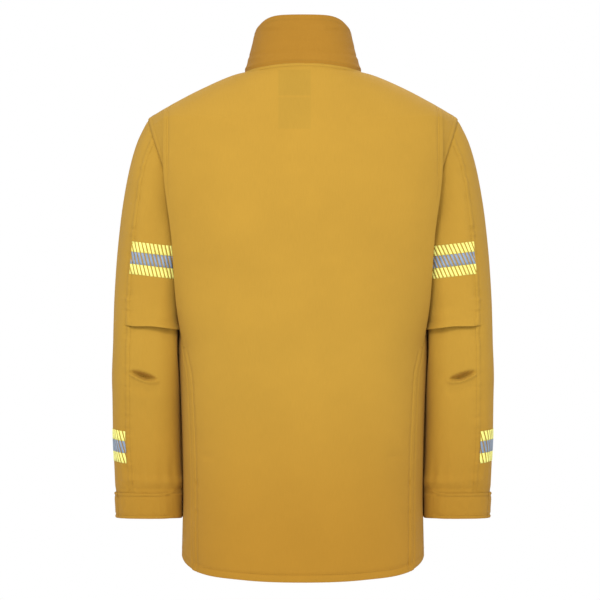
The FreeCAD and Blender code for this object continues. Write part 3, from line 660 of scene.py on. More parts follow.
def front_neck_z(x):
    """And at the front."""
    return -NECK_FRONT_DROP * np.sqrt(np.maximum(0, 1 - (x / NECK_HALF) ** 2))


def pucker(along, across, seed, pitch, reach, height):
    """Small waves beside a sewn line, where the thread has drawn the cloth up."""
    wave = noise(along / pitch, 0.5, seed) + 0.5 * noise(along / (pitch * 0.45), 3.5, seed)
    return height * wave * np.exp(-np.abs(across) / reach)


# ---- torso pieces ----
MIDDLE = ("coat", "back_panel_cloth")


def sided(side, name):
    """Name of a body, node or piece on one side of the coat. Those in the middle have no side."""
    return name if name in MIDDLE else f"{side}_{name}"


def add(obj, body, nodes=()):
    """Fixes a piece to a body, in place of these CAD nodes."""
    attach(obj, body)
    if nodes:
        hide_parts(*nodes)


def both(right, place):
    """Places a right-hand piece and its mirror image."""
    left = mirrored(right, right.name.replace("right", "left", 1))
    place("right", right)
    place("left", left)


def add_both(right, body, nodes=(), sheet=None):
    """Fixes a right-hand piece and its mirror image to their bodies. sheet, given as (cut, held, what it rests
    on), is not used.
    """

    def place(side, obj):
        add(obj, sided(side, body), [sided(side, node) for node in nodes])
        if sheet:
            cut, held, rests_on = sheet
            sided(side, rests_on)

    both(right, place)


def corner_drop(p, above_hem):
    """How much lower the hem hangs where the back turns into the sides."""
    return 2.7 * smooth(60, 0, above_hem) * smooth(95, 165, np.abs(p[..., 0])) * smooth(70, -30, p[..., 1])


def back_surface():
    """Back panel from pleat fold to pleat fold, u across and v from the hem to the shoulders."""

    def base(u, v):
        share = 2 * u - 1
        top_x = np.abs(share) * PLEAT_TOP_X
        top = np.where(top_x < NECK_HALF, back_neck_z(top_x), shoulder_z(top_x))
        hem_x = share * pleat_edge(HEM_SIDE_Z)
        z = lerp(hem_z(back_y(hem_x, HEM_SIDE_Z)), top, v)
        x = share * pleat_edge(z)
        return stack(x, back_y(x, z), z)

    halves = np.concatenate([np.linspace(0, 0.94, 72), np.linspace(0.945, 1, 12)])
    us = np.concatenate([0.5 - halves[:0:-1] / 2, 0.5 + halves / 2])
    vs = np.concatenate([np.linspace(0, 0.03, 12), np.linspace(0.034, 0.93, 230), np.linspace(0.9325, 1, 32)])
    surface = Surface(us, vs, base, (0, 100, -400))
    x, z = surface.points[..., 0], surface.points[..., 2]
    aside = np.abs(x)
    edge = pleat_edge(z) - aside
    slanted = 1.1 * noise((aside + 0.8 * z) / 46, (aside - 0.8 * z) / 150, 4)
    drape = (
        0.9 * noise(x / 62, z / 330, 1) * smooth(-120, -330, z)
        + 0.5 * noise(x / 30, z / 180, 2) * smooth(-420, -700, z)
        + 0.35 * noise(x / 75, z / 75, 3)
        + slanted * bell(z + 75, 75) * smooth(40, 110, aside)
    )
    tuck = (
        -1.5 * bell(z + 605, 5) * bell(aside - 150, 13)
        + 0.8 * bell(z + 613, 7) * bell(aside - 150, 15)
    )
    hem = z - hem_z(surface.points[..., 1])
    sewn = (
        -1.3 * bell(hem - 11, 1.6)
        + 0.9 * smooth(10.5, 6, hem)
        + pucker(x, hem - 10, 5, 11, 7, 0.9)
        - 1.1 * bell(edge - 6, 1.6) * smooth(-175, -160, z)
        + pucker(z, edge - 7, 6, 12, 6, 0.7) * smooth(-185, -160, z)
        - 1.3 * bell(edge - 6, 1.5) * smooth(PLEAT_END_Z, PLEAT_END_Z - 8, z)
        + pucker(z, edge - 5, 7, 9, 7, 1.3) * smooth(PLEAT_END_Z + 40, PLEAT_END_Z - 8, z)
    )
    neck = np.where(np.abs(x) < NECK_HALF, back_neck_z(x), 999) - z
    sewn = sewn + 0.9 * bell(neck - 3, 2.6) + pucker(x, neck, 8, 10, 7, 0.4)
    calm = smooth(0, 14, edge) * smooth(0, 12, hem)
    surface.push(drape * calm + tuck + sewn)
    surface.points[..., 2] -= corner_drop(surface.points, hem)
    return surface


def make_back():
    """Back panel. Returns its rows of stitching, as make_torso and make_collar do."""
    surface = back_surface()
    rolls = [("u0", 1.1, 16), ("u1", 1.1, 16), ("v0", 1.0, 11)]
    panel = surface.make("back_panel_cloth", SHELL_BACK, rolls)
    add(panel, "coat", ["back_panel"])
    us = surface.us
    rows = stitches(surface, us[(us > 0.04) & (us < 0.96)], 10.5 / 800)
    high = np.linspace(0.002, 0.43, 500)
    upper = np.linspace(0.80, 0.995, 200)
    for side in (-1, 1):
        for inset in (4.0, 10.0):
            rows += stitches(surface, 0.5 + side * 0.5 * (1 - inset / 180), high)
        rows += stitches(surface, 0.5 + side * 0.5 * (1 - 5.0 / 218), upper)
    neck = us[np.abs(us - 0.5) < 0.5 * 0.985 * NECK_HALF / PLEAT_TOP_X]
    rows += stitches(surface, neck, 1 - 4.5 / 810)
    return rows


def side_seam(z):
    """Where the gusset meets the side panel, below the armhole."""
    share = (z - UNDERARM_Z) / (PLEAT_END_Z - UNDERARM_Z)
    end = np.abs(back_y(pleat_edge(PLEAT_END_Z), PLEAT_END_Z))
    y = end * share
    x = oval(y, back_depth(z), side_half_width(z), BACK_POWER)
    return np.minimum(x, lerp(UNDERARM_X, pleat_edge(PLEAT_END_Z), share)), -y


def gusset_surface():
    """Cloth from under the fold of the back panel to the armhole and the side seam."""

    def base(u, v):
        z = lerp(PLEAT_END_Z, TIP_Z, v)
        fold_z = lerp(PLEAT_END_Z, shoulder_z(PLEAT_TOP_X), v)
        under = 1 - smooth(0.86, 1.0, v)
        fold_x = pleat_edge(fold_z) - 9 * under
        fold = stack(fold_x, back_y(fold_x, fold_z) + 1.4 + 1.8 * under, fold_z)
        low_x, low_y = side_seam(z)
        high = z >= UNDERARM_Z
        edge = stack(np.where(high, armhole_x(z), low_x), np.where(high, -armhole_y(z), low_y), z)
        p = lerp(fold, edge, u[..., None])
        # below the armhole the cloth bows in towards the body, clear of the sleeve
        bow = smooth(0.75, 0.5, v)
        p[..., 0] = lerp(p[..., 0], lerp(fold[..., 0], edge[..., 0], np.sin(math.pi / 2 * u)), bow)
        return p

    vs = np.concatenate([np.linspace(0.0, 0.9, 90), np.linspace(0.905, 1, 40)])
    surface = Surface(np.linspace(0, 1, 26), vs, base, (0, 40, -300))
    u, v = surface.u, surface.v
    seam = (1 - u) * 40
    surface.push(
        1.1 * bell(seam - 5, 4.5) * smooth(0.45, 0.6, v)
        + pucker(v * 360, seam - 9, 11, 9, 6, 0.5) * smooth(0.4, 0.6, v)
        + 0.6 * noise(u * 2.2, v * 7, 12) * np.sin(math.pi * u)
    )
    return surface


def side_surface():
    """Side panel from under the back panel's edge round to the front, with the armhole cut from its top."""
    armhole_share = 0.62

    def angle(x, y, z):
        depth = np.where(y < 0, back_depth(z), front_depth(z))
        power = np.where(y < 0, BACK_POWER, FRONT_POWER)
        sine = np.sign(y) * np.abs(y / depth) ** (power / 2)
        return np.arctan2(sine, np.abs(x / front_half_width(z)) ** (power / 2))

    def base(u, v):
        top = lerp(UNDERARM_Z, YOKE_Z, np.minimum(1, np.maximum(0, u) / armhole_share))
        seam_y = back_y(pleat_edge(HEM_SIDE_Z), HEM_SIDE_Z)
        bottom = hem_z(lerp(seam_y, front_y(FRONT_SEAM_X, HEM_SIDE_Z), u))
        z = lerp(bottom, top, v)
        edge_x = pleat_edge(z)
        low_x, low_y = side_seam(np.clip(z, PLEAT_END_Z, UNDERARM_Z))
        start = np.where(z < PLEAT_END_Z, angle(edge_x, back_y(edge_x, z), z), angle(low_x, low_y, z))
        start = np.where(z > UNDERARM_Z, angle(armhole_x(z), armhole_y(z), z), start)
        cut = np.clip(armhole_share * (z - UNDERARM_Z) / (YOKE_Z - UNDERARM_Z), 0, armhole_share)
        across = np.clip((u - cut) / (1 - cut), 0, 1)
        turn = lerp(start, angle(FRONT_SEAM_X, front_y(FRONT_SEAM_X, z), z), across)
        turn = turn + np.minimum(u, 0)
        depth = np.where(turn < 0, back_depth(z), front_depth(z))
        power = np.where(turn < 0, BACK_POWER, FRONT_POWER)
        x = front_half_width(z) * np.maximum(np.cos(turn), 0) ** (2 / power)
        y = depth * np.sign(turn) * np.abs(np.sin(turn)) ** (2 / power)
        return stack(x, y, z)

    us = np.concatenate([[-0.07, -0.045, -0.02], np.linspace(0, 1, 70)])
    surface = Surface(us, even(520, 4), base, (0, 0, -500))
    x, z = surface.points[..., 0], surface.points[..., 2]
    u = surface.u
    hem = z - hem_z(surface.points[..., 1])
    under = -1.7 * smooth(0.03, -0.005, u)
    drape = 0.8 * noise(u * 4.5, z / 170, 21) + 0.4 * noise(u * 10, z / 90, 22)
    surface.push(
        under
        + drape * smooth(0, 0.12, u) * smooth(1, 0.9, u)
        - 0.35 * bell(hem - 10, 1.4)
        + pucker(u * 200, hem - 10, 23, 11, 7, 0.35)
        + pucker(z, (1 - u) * 200, 24, 10, 6, 0.4)
        + 0.8 * bell((1 - u) * 200 - 3, 3)
    )
    surface.points[..., 2] -= corner_drop(surface.points, hem)
    return surface


def front_surface():
    """Front panel, u out from the zip and v from the hem to the yoke."""
    def base(u, v):
        x = lerp(9.0, FRONT_SEAM_X, u)
        z = lerp(hem_z(front_y(x, HEM_SIDE_Z)), YOKE_Z, v)
        return stack(x, front_y(x, z), z)

    surface = Surface(even(150, 3.4), even(580, 4), base, (0, 0, -500))
    x, z = surface.points[..., 0], surface.points[..., 2]
    hem = z - hem_z(surface.points[..., 1])
    surface.push(
        (0.9 * noise(x / 45, z / 190, 31) + 0.4 * noise(x / 22, z / 80, 32)) * smooth(9, 30, x)
        - 0.35 * bell(hem - 10, 1.4)
        - 0.35 * bell(x - 15, 1.2)
        + pucker(z, x - 15, 33, 10, 5, 0.3)
    )
    return surface


def yoke_surface():
    """Front yoke, u from the middle to the armhole and v up to the neck and shoulder."""
    def base(u, v):
        low_x = lerp(0.6, armhole_x(YOKE_Z), u)
        inner = u < 0.45
        neck_x = NECK_HALF * np.sin(math.pi / 2 * np.minimum(u, 0.45) / 0.45)
        out_x = lerp(NECK_HALF, TIP_X, np.maximum(0, u - 0.45) / 0.55)
        top_x = np.where(inner, neck_x, out_x)
        top_z = np.where(inner, front_neck_z(neck_x), shoulder_z(out_x))
        z = lerp(YOKE_Z, top_z, v)
        x = np.minimum(lerp(low_x, top_x, v ** 1.5), armhole_x(z))
        x = np.where(u >= 1, armhole_x(z), x)
        x = np.maximum(x, 0.6)
        return stack(x, front_y(x, z), z)

    surface = Surface(even(260, 3.4), np.linspace(0, 1, 60) ** 0.9, base, (0, -40, -260))
    u, v = surface.u, surface.v
    surface.push(
        0.8 * noise(u * 4, v * 3, 41) * np.sin(math.pi * v)
        + 0.8 * bell((1 - v) * 120 - 4, 3)
        + 0.9 * bell((1 - u) * 230 - 5, 4)
        + pucker(v * 190, (1 - u) * 230 - 9, 42, 9, 6, 0.4)
        + 0.7 * bell(v * 150 - 4, 3)
        + pucker(u * 230, v * 150 - 8, 43, 10, 6, 0.35)
    )
    return surface


# ---- collar ----
def neckline(turn):
    """Points of the neck seam; a turn of 0 is the wearer's right and 90 degrees the front."""
    x = NECK_HALF * np.cos(turn)
    behind = np.sin(turn) < 0
    z = np.where(behind, back_neck_z(x), front_neck_z(x))
    return stack(x, np.where(behind, back_y(x, z), front_y(x, z)), z)


def collar_rim(turn):
    """Points of the collar's top edge."""
    ahead = np.sin(turn)
    x = COLLAR_RIM_HALF * np.cos(turn)
    back = COLLAR_TOP_BACK - (COLLAR_TOP_BACK - COLLAR_TOP_SIDE) * np.abs(x / COLLAR_RIM_HALF) ** 6
    front = lerp(COLLAR_TOP_SIDE, COLLAR_TOP_FRONT, np.maximum(0, ahead) ** 1.3)
    reach = np.where(ahead > 0, COLLAR_RIM_FRONT, COLLAR_RIM_BACK)
    return stack(x, reach * ahead, np.where(ahead < 0, back, front))


def collar_wall(turn, v, out):
    """Points of the collar's wall, v from the neck seam to the top edge, this far outside it."""
    p = lerp(neckline(turn), collar_rim(turn), v[..., None])
    p[..., 2] -= 2.5 * smooth(0.06, 0, v)
    hollow = (0.002 * np.sin(math.pi * v) + 0.072 * v ** 2) * np.cos(turn) ** 2
    pinch = 1.008 + hollow - 0.008 * smooth(0.05, 0, v)
    flat = p[..., :2] * pinch[..., None]
    length = np.linalg.norm(flat, axis=-1, keepdims=True)
    p[..., :2] = flat * (length + out) / length
    return p


def collar_point(u, v, out=0.0):
    """The same, with u round the collar from one front end to the other."""
    return collar_wall(math.pi / 2 + COLLAR_OPENING + (2 * math.pi - 2 * COLLAR_OPENING) * u, v, out)


def make_collar():
    """Collar and its lining."""
    us = np.linspace(0, 1, 190)
    surface = Surface(us, np.linspace(0, 1, 44), collar_point, (0, 0, 0))
    u, v = surface.u, surface.v
    aside, z = np.abs(surface.points[..., 0]), surface.points[..., 2]
    crease = (
        -0.9 * bell(z - 63, 2.2) * smooth(30, 42, aside) * smooth(66, 52, aside)
        + 0.5 * bell(z - 69, 4) * smooth(26, 50, aside)
        - 0.6 * bell(z - 30 + 0.06 * aside, 2.4)
        + 0.5 * bell(z - 25 + 0.06 * aside, 3.5)
    )
    surface.push(
        0.45 * noise(u * 13, z / 9, 51) * smooth(0, 0.15, v) * smooth(1, 0.9, v)
        + crease * (surface.points[..., 1] < 10)
        + 0.9 * bell(v * 70 - 6, 3)
        + pucker(u * 540, v * 70 - 2, 52, 9, 6, 0.4)
        - 0.3 * bell((1 - v) * 70 - 7, 1.2)
        - 0.9 * bell((1 - v) * 70, 2.5)
    )
    outer = surface.make("collar_cloth", COLLAR, [("v1", 1.5, 4)])
    add(outer, "coat", ["collar_shell"])
    lining = Surface(us[::2], np.linspace(0, 0.99, 24), lambda u, v: collar_point(u, v, -3.2), (0, 0, 0))
    lining.push(0.3 * noise(lining.u * 20, lining.v * 5, 53))
    inner = lining.make("collar_lining_cloth", LINING)
    add(inner, "coat", ["collar_lining"])
    return stitches(surface, us[2:-2], 1 - 7 / 76) + stitches(surface, us[2:-2], 4.5 / 76)


# ---- sleeves ----
SLEEVE_STATIONS = (  # share of the sleeve's length: outer x and z, inner x and z, half-depth, centre y
    (0.00, TIP_X, TIP_Z, UNDERARM_X, UNDERARM_Z, 64, 0),
    (0.08, 262, -116, 185, -280, 67, 1),
    (0.16, 276, -163, 187, -293, 70, 2),
    (0.26, 288, -232, 189, -315, 71, 3),
    (0.38, 295, -310, 192, -350, 70, 3),
    (0.49, 299, -378, 196, -392, 67, 2),
    (0.59, 300.5, -440, 199, -440, 64, 2),
    (0.72, 300.5, -520, 198.5, -520, 61, 6),
    (0.84, 300, -595, 197, -595, 58, 13),
    (0.94, 297.5, -662, 195, -662, 55, 20),
    (1.00, 296, -702, 194, -702, 55, 24),
)
SLEEVE_PARTS = [profile(*[(s[0], s[k]) for s in SLEEVE_STATIONS]) for k in range(1, 7)]


def sleeve_point(turn, share, out=0.0):
    """Points of the sleeve at this share of its length, this far outside it."""
    out_x, out_z, in_x, in_z, depth, y = (part(share) for part in SLEEVE_PARTS)
    p = stack(
        (out_x - in_x) / 2 * np.cos(turn), depth * np.sin(turn), (out_z - in_z) / 2 * np.cos(turn)
    )
    length = np.linalg.norm(p, axis=-1, keepdims=True)
    # the back of the sleeve is flatter than an oval, most of all beside the body
    flat = 0.05 + 0.09 * smooth(0.3, -0.4, np.cos(turn))
    flat = flat * smooth(0.2, -0.5, np.sin(turn)) * np.sin(2 * turn) ** 2 * smooth(0.03, 0.2, share)
    p = p * (length + np.asarray(out, float)[..., None]) / length * (1 + flat[..., None])
    p = p + stack((out_x + in_x) / 2, y, (out_z + in_z) / 2)
    p[..., 0] -= 0.5 * smooth(0.85, 0.935, share) * smooth(-0.2, 0.8, np.cos(turn))
    p[..., 0] += 2.2 * smooth(0.56, 0.68, share) * smooth(0.9, 0.8, share) * smooth(0.0, 0.9, np.cos(turn))
    p[..., 2] -= 3.6 * smooth(0.90, 0.94, share)
    return p


def beside_body(p, gap):
    """Keeps points of the sleeve off the side of the coat, and brings the sleeve's inner side up to it."""
    x, y, z = np.moveaxis(p, -1, 0)
    depth = np.where(y < 0, back_depth(z), FRONT_DEPTH)
    power = np.where(y < 0, BACK_POWER, FRONT_POWER)
    widest = side_half_width(z)
    body = widest * (1 - np.clip(np.abs(y) / depth, 0, 0.99) ** power) ** (1 / power)
    # the rear of the forearm swings forward past the widest part of the coat when the elbow bends
    ahead = smooth(-4, 12, y)
    body = np.where(z < -400, lerp(widest, body, ahead), body)
    near = smooth(-385, -440, z)
    moved = p.copy()
    closer = x - lerp(4.5, 10.0, ahead) * near * smooth(235, 200, x)
    moved[..., 0] = np.where(z < -300, np.maximum(closer, body + gap), x)
    return moved


def back_seam(share):
    """Turn of the seam that runs down the back of the sleeve."""
    return BACK_SEAM + 0.17 * smooth(0.25, 0.0, share) - 0.07 * smooth(0.42, 0.56, share)


def share_at(turn, z):
    """Share of the sleeve's length at which the line at this turn comes down to height z."""
    low, high = np.zeros_like(turn + z), np.ones_like(turn + z)
    for _ in range(24):
        middle = (low + high) / 2
        above = sleeve_point(turn, middle)[..., 2] > z
        low, high = np.where(above, middle, low), np.where(above, high, middle)
    return low


TURNS = np.linspace(BACK_SEAM - math.pi * 1.25, BACK_SEAM + math.pi * 0.75, 150)[:-1]


def elbow_dart(x, z, behind):
    """Depth of the dart across the back of the forearm, with a roll of cloth along its lower side."""
    s = np.clip((272 - x) / 43, 0, 1)
    dart_z = -475.5 - 12.0 * np.sin(np.minimum(s * 1.25, 1) * math.pi / 2)
    held = smooth(276, 268, x) * smooth(225, 233, x) * behind
    over = z - dart_z
    wide = 2.5 + 6.5 * np.sin(math.pi * np.clip(s, 0, 1)) ** 0.7
    hollow = smooth(-0.6, 1.6, over) * smooth(wide * 1.5, wide * 0.25, over)
    return held * (
        -13.0 * hollow * np.sin(math.pi * np.clip(s * 0.96 + 0.04, 0, 1)) ** 0.8
        + 3.4 * bell(over + 2.2, 2.2)
        - 1.6 * bell(over + 17, 8)
    )


def sleeve_surface():
    """Whole sleeve from inside the armhole seam to the cuff, u the turn and v the share of its length."""

    def base(u, v):
        return sleeve_point(u, v, -1.6 * smooth(0.012, 0.0, v))

    shares = np.concatenate([[0.0, 0.002, 0.004, 0.008], np.linspace(0.012, SPLIT_SHARE, 118)])
    shares = np.concatenate([shares, np.linspace(SPLIT_SHARE, CUFF_SHARE + 0.012, 125)[1:]])
    surface = Surface(TURNS, shares, base, (245, 5, -400), True)
    x, y, z = np.moveaxis(surface.points, -1, 0)
    share = surface.v
    round_ = np.arctan2(np.sin(surface.u), np.cos(surface.u))
    behind = smooth(10, -20, y)

    seam = (round_ - back_seam(share)) * SLEEVE_RADIUS
    puckers = pucker(z, seam, 61, 8, 8, 2.0) + pucker(z, seam, 62, 4.5, 5, 1.2)
    felled = 1.0 * smooth(-5.2, -4.0, seam) * smooth(5.2, 4.0, seam) - 1.0 * bell(np.abs(seam) - 4.4, 1.2)
    front = (round_ - FRONT_SEAM) * SLEEVE_RADIUS
    felled = felled + 0.8 * smooth(-4.5, -3, front) * smooth(4.5, 3, front)
    puckers = puckers + pucker(z, front, 63, 9, 6, 0.5)
    near_armhole = share * 620
    gathered = 0.7 * noise(round_ * 9, near_armhole / 60, 64) * np.exp(-near_armhole / 26)
    puckers = puckers + gathered * smooth(1, 6, near_armhole)

    swell = 2.6 * bell(z + 388, 12) * bell(278 - x - 55, 26) * behind

    cuff_near = z + 660
    outward = np.cos(surface.u)
    gathers = 1.1 * noise(round_ * 7.5, z / 70, 65) * smooth(75, 10, cuff_near) * smooth(-4, 6, cuff_near)
    blouse = 2.2 * bell(cuff_near - 13, 7) * smooth(0.7, -0.2, outward)
    blouse = blouse - 1.2 * bell(cuff_near - 1, 3) * smooth(1.0, 0.6, outward)
    rays = 0.9 * noise(np.arctan2(z + 655, seam) * 2.5, 0.0, 67) * bell(np.hypot(z + 655, seam) - 9, 7)
    star = -1.6 * bell(z + 655, 5) * bell(seam, 5) + rays
    soft = 1.3 * noise(round_ * 1.6 + 5, z / 110, 68) * smooth(-110, -190, z) * smooth(-655, -600, z)
    soft = soft + 0.5 * noise(round_ * 4, z / 60, 69) * smooth(-110, -190, z)
    surface.push(puckers + felled + swell + gathers + blouse + star + soft + elbow_dart(x, z, behind))
    surface.points = beside_body(surface.points, 0.7)
    surface.facing = normals(surface.points, True) * surface.sign
    return surface


def elbow_fold(surface, cut):
    """Points of the sleeve's two meshes, with the upper one folded over the lower at the back of the elbow."""
    head, lower = surface.points[:, : cut + 1].copy(), surface.points[:, cut:].copy()
    run, behind = 278 - surface.points[:, cut, 0], smooth(12, -18, surface.points[:, cut, 1])
    facing = surface.facing[:, cut]
    held = (smooth(-6, 14, run) * behind)[:, None]
    arch = held * 3.4 * bell(run - 46, 24)[:, None]
    lip = held * (3.0 + 1.2 * smooth(20, 70, run) + 2.0 * bell(run - 55, 20))[:, None]
    above = head[:, -1:, 2] - head[..., 2]
    head += facing[:, None, :] * (lip * bell(above, 7))[..., None]
    head[..., 2] += (arch - held * 1.6) * bell(above, 6)
    below = lower[:, :1, 2] - lower[..., 2]
    reach = (4.0 + 7.0 * smooth(30, 90, run))[:, None]
    recess = held * (8.5 - 6.5 * smooth(62, 80, run))[:, None]
    lower -= facing[:, None, :] * (recess * np.exp(-below / reach))[..., None]
    lower[..., 2] += (arch + held * 2.0) * np.exp(-below / 5)
    return head, lower


ARM_START, ARM_END = (0.2264, 0, -0.181), (0.2813, 0, -0.2076)
ELBOW_START, ELBOW_END = (0.25, 0, -0.412), (0.25, 0, -0.530)


def side_point(side, p):
    """A right-hand point, or its mirror image."""
    return (p[0] if side == "right" else -p[0], p[1], p[2])


def join_joint(obj, side, which):
    """Bakes a sleeve piece's transform into its mesh, for the shoulder or the elbow."""
    if which == "shoulder":
        side_point(side, ARM_START)
        side_point(side, ARM_END)
        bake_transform(obj)
    else:
        start, end = side_point(side, ELBOW_START), side_point(side, ELBOW_END)
        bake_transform(obj)


def sleeve_row(surface, seam, inset, low, high):
    """Row of stitches beside a seam, between two shares of the sleeve's length."""
    shares = np.arange(low, high, 0.004)
    turns = seam(shares) + inset / SLEEVE_RADIUS
    lo = surface.us[0]
    return stitches(surface, (turns - lo) % (2 * math.pi) + lo, shares)


def make_sleeves():
    """Both sleeves, and the right one's surface for its trim."""
    surface = sleeve_surface()
    cut = int(np.searchsorted(surface.vs, SPLIT_SHARE))
    head_points, lower_points = elbow_fold(surface, cut)
    head = shell("right_upper_sleeve_cloth", head_points, SHELL, CLOTH, True, surface.sign)
    lower = shell("right_lower_sleeve_cloth", lower_points, SHELL, CLOTH, True, surface.sign)
    for obj, points, own in ((head, head_points, -1), (lower, lower_points, 0)):
        facing = normals(points, True) * surface.sign
        # where the two meshes meet in one surface their shading does too
        edge = points[:, own]
        same = smooth(0.4, 0.0, np.linalg.norm(edge - surface.points[:, cut], axis=-1))[:, None]
        facing[:, own] = unit(lerp(facing[:, own], surface.facing[:, cut], same))
        flat = facing.reshape(-1, 3)
        shade(obj, np.concatenate([flat, -flat]))
    rows = {"shoulder": [], "elbow": []}
    for seam in (back_seam, lambda share: FRONT_SEAM + 0 * share):
        for inset in (-3.8, 3.8):
            rows["shoulder"] += sleeve_row(surface, seam, inset, 0.012, SPLIT_SHARE)
            rows["elbow"] += sleeve_row(surface, seam, inset, SPLIT_SHARE, CUFF_SHARE)

    def place_head(side, obj):
        join_joint(obj, side, "shoulder")
        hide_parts(f"{side}_upper_sleeve_top", f"{side}_upper_sleeve_under")

    def place_lower(side, obj):
        join_joint(obj, side, "elbow")
        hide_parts(f"{side}_forearm_top", f"{side}_forearm_under")

    both(head, place_head)
    both(lower, place_lower)
    for which, found in rows.items():
        thread = soup(f"right_{which}_stitching", found, THREAD_MATERIAL)

        def place_thread(side, obj, which=which):
            join_joint(obj, side, which)

        both(thread, place_thread)
    return surface


# ---- reflective trim ----
BANDS = (("lemon", 0.0, 15.8), ("silver", 16.0, 34.8), ("lemon", 35.0, 50.8))
SLANT, SEGMENT_PITCH, SEGMENT_WIDTH = math.tan(math.radians(19)), 6.2, 4.2
WRIST_STRETCH = 1.2         # the wrist trim's segments are this much wider than the arm trim's

# height of a trim's middle on the outside of the arm, and how much lower it is beside the body
ARM_TRIM_Z, ARM_TRIM_FALL = -291, 13
WRIST_TRIM_Z, WRIST_TRIM_FALL = -589.5, 16


def trim_surface(sleeve, first, last, middle_z, fall):
    """Surface just off the sleeve, u along the trim and v down it from 0 to its width."""
    turns = np.linspace(first, last, 60)
    drops = np.linspace(0, TRIM_WIDTH, 22)
    lo = sleeve.us[0]

    def base(u, v):
        z = middle_z + TRIM_WIDTH / 2 - v - fall * (1 - np.cos(u)) / 2
        wrapped = (u - lo) % (2 * math.pi) + lo
        points, facing = sleeve.at(wrapped, share_at(u, z))
        return points + facing * 0.35

    return Surface(turns, drops, base, (245, 5, middle_z))


def trim_segments(surface, lean, stretch):
    """Slanted segments of each band, as separate thin chips; lean is +1 or -1."""
    top = surface.points[:, 0]
    run = np.concatenate([[0], np.cumsum(np.linalg.norm(np.diff(top, axis=0), axis=-1))])
    total = run[-1]
    chips = {"lemon": [], "silver": []}
    steps_down = np.linspace(0, 1, 5)
    for start in np.arange(-30.0, total + 30.0, SEGMENT_PITCH * stretch):
        for colour, low, high in BANDS:
            v = lerp(low, high, steps_down)
            left = start + lean * SLANT * v
            left, right = np.clip(left, 0, total), np.clip(left + SEGMENT_WIDTH * stretch, 0, total)
            if (right - left).max() < 0.8:
                continue
            us = np.stack([left, lerp(left, right, 0.5), right])
            us = np.interp(us, run, surface.us)
            vv = np.broadcast_to(v, us.shape)
            under, facing = surface.at(us, vv)
            over = under + facing * 0.28
            points = np.concatenate([over.reshape(-1, 3), under.reshape(-1, 3)])
            wide, high_count = us.shape
            half = wide * high_count
            faces = []
            for i in range(wide - 1):
                for k in range(high_count - 1):
                    a = i * high_count + k
                    b = a + high_count
                    faces += [[a, b, b + 1, a + 1], [half + a, half + a + 1, half + b + 1, half + b]]
            for i in range(wide - 1):
                a, b = i * high_count, (i + 1) * high_count
                e, f = a + high_count - 1, b + high_count - 1
                faces += [[a, half + a, half + b, b], [e, f, half + f, half + e]]
            for k in range(high_count - 1):
                a, b = k, (wide - 1) * high_count + k
                faces += [[a, a + 1, half + a + 1, half + a], [b, half + b, half + b + 1, b + 1]]
            chips[colour].append((points, faces))
    return chips


def flipped(groups):
    """Mirror images of small solids."""
    return [(np.asarray(p) * np.array([-1, 1, 1]), [face[::-1] for face in faces]) for p, faces in groups]


def make_trim(sleeve):
    """Arm trim round the under side of each sleeve, and wrist trim round its outside, from seam to seam."""
    inset = 0.015
    front = FRONT_SEAM - inset
    arm = trim_surface(
        sleeve, FRONT_SEAM - 2 * math.pi + inset, BACK_SEAM - inset, ARM_TRIM_Z, ARM_TRIM_FALL
    )
    wrist = trim_surface(sleeve, BACK_SEAM + 0.01, front, WRIST_TRIM_Z, WRIST_TRIM_FALL)
    for side in ("right", "left"):
        for name, surface, stretch in (("arm", arm, 1.0), ("wrist", wrist, WRIST_STRETCH)):
            # the slant leans the same way on both sleeves, so it isn't mirrored
            lean = 1 if side == "right" else -1
            chips = trim_segments(surface, lean, stretch)
            for colour, material in (("lemon", LEMON), ("silver", SILVER)):
                groups = chips[colour] if side == "right" else flipped(chips[colour])
                obj = soup(f"{side}_{name}_trim_{colour}", groups, material)
                if name == "arm":
                    join_joint(obj, side, "shoulder")
                else:
                    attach(obj, f"{side}_forearm")
                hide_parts(f"{side}_{name}_trim")


# ---- cuffs ----
STRAP_SEWN, STRAP_HINGE, STRAP_FREE = math.radians(60), math.radians(-31), math.radians(-155)
CUFF_MIDDLE = (245, 22, -682)


def strap_surface(first, last, count, seed, free):
    """Part of the wrist strap, u the turn and v down it; the free end has rounded corners and stands higher."""

    def base(u, v):
        share = lerp(CUFF_SHARE + 0.001, 1.0, v)
        end = np.clip(1 - (u - first) * CUFF_RADIUS / 9, 0, 1) if free else 0 * u
        squeeze = 1 - 0.36 * (1 - np.sqrt(np.maximum(0, 1 - end ** 2)))
        p = sleeve_point(u, lerp(CUFF_SHARE + 0.0305, share, squeeze), 2.5)
        p[..., 2] += 7.0 * smooth(math.radians(-108), STRAP_FREE, u) * (1 - 0.75 * v)
        return p

    surface = Surface(np.linspace(first, last, count), np.linspace(0, 1, 20), base, CUFF_MIDDLE)
    edge = np.minimum(surface.v, 1 - surface.v) * 40
    if free:
        edge = np.minimum(edge, (surface.u - first) * CUFF_RADIUS)
    surface.push(
        -1.2 * bell(edge - 5.0, 1.5)
        + 0.6 * bell(edge - 2.2, 1.8)
        + 0.4 * noise(surface.u * 10, surface.v * 3, seed)
        + pucker(surface.u * CUFF_RADIUS, edge - 4.5, seed + 1, 8, 5, 0.3)
    )
    return surface


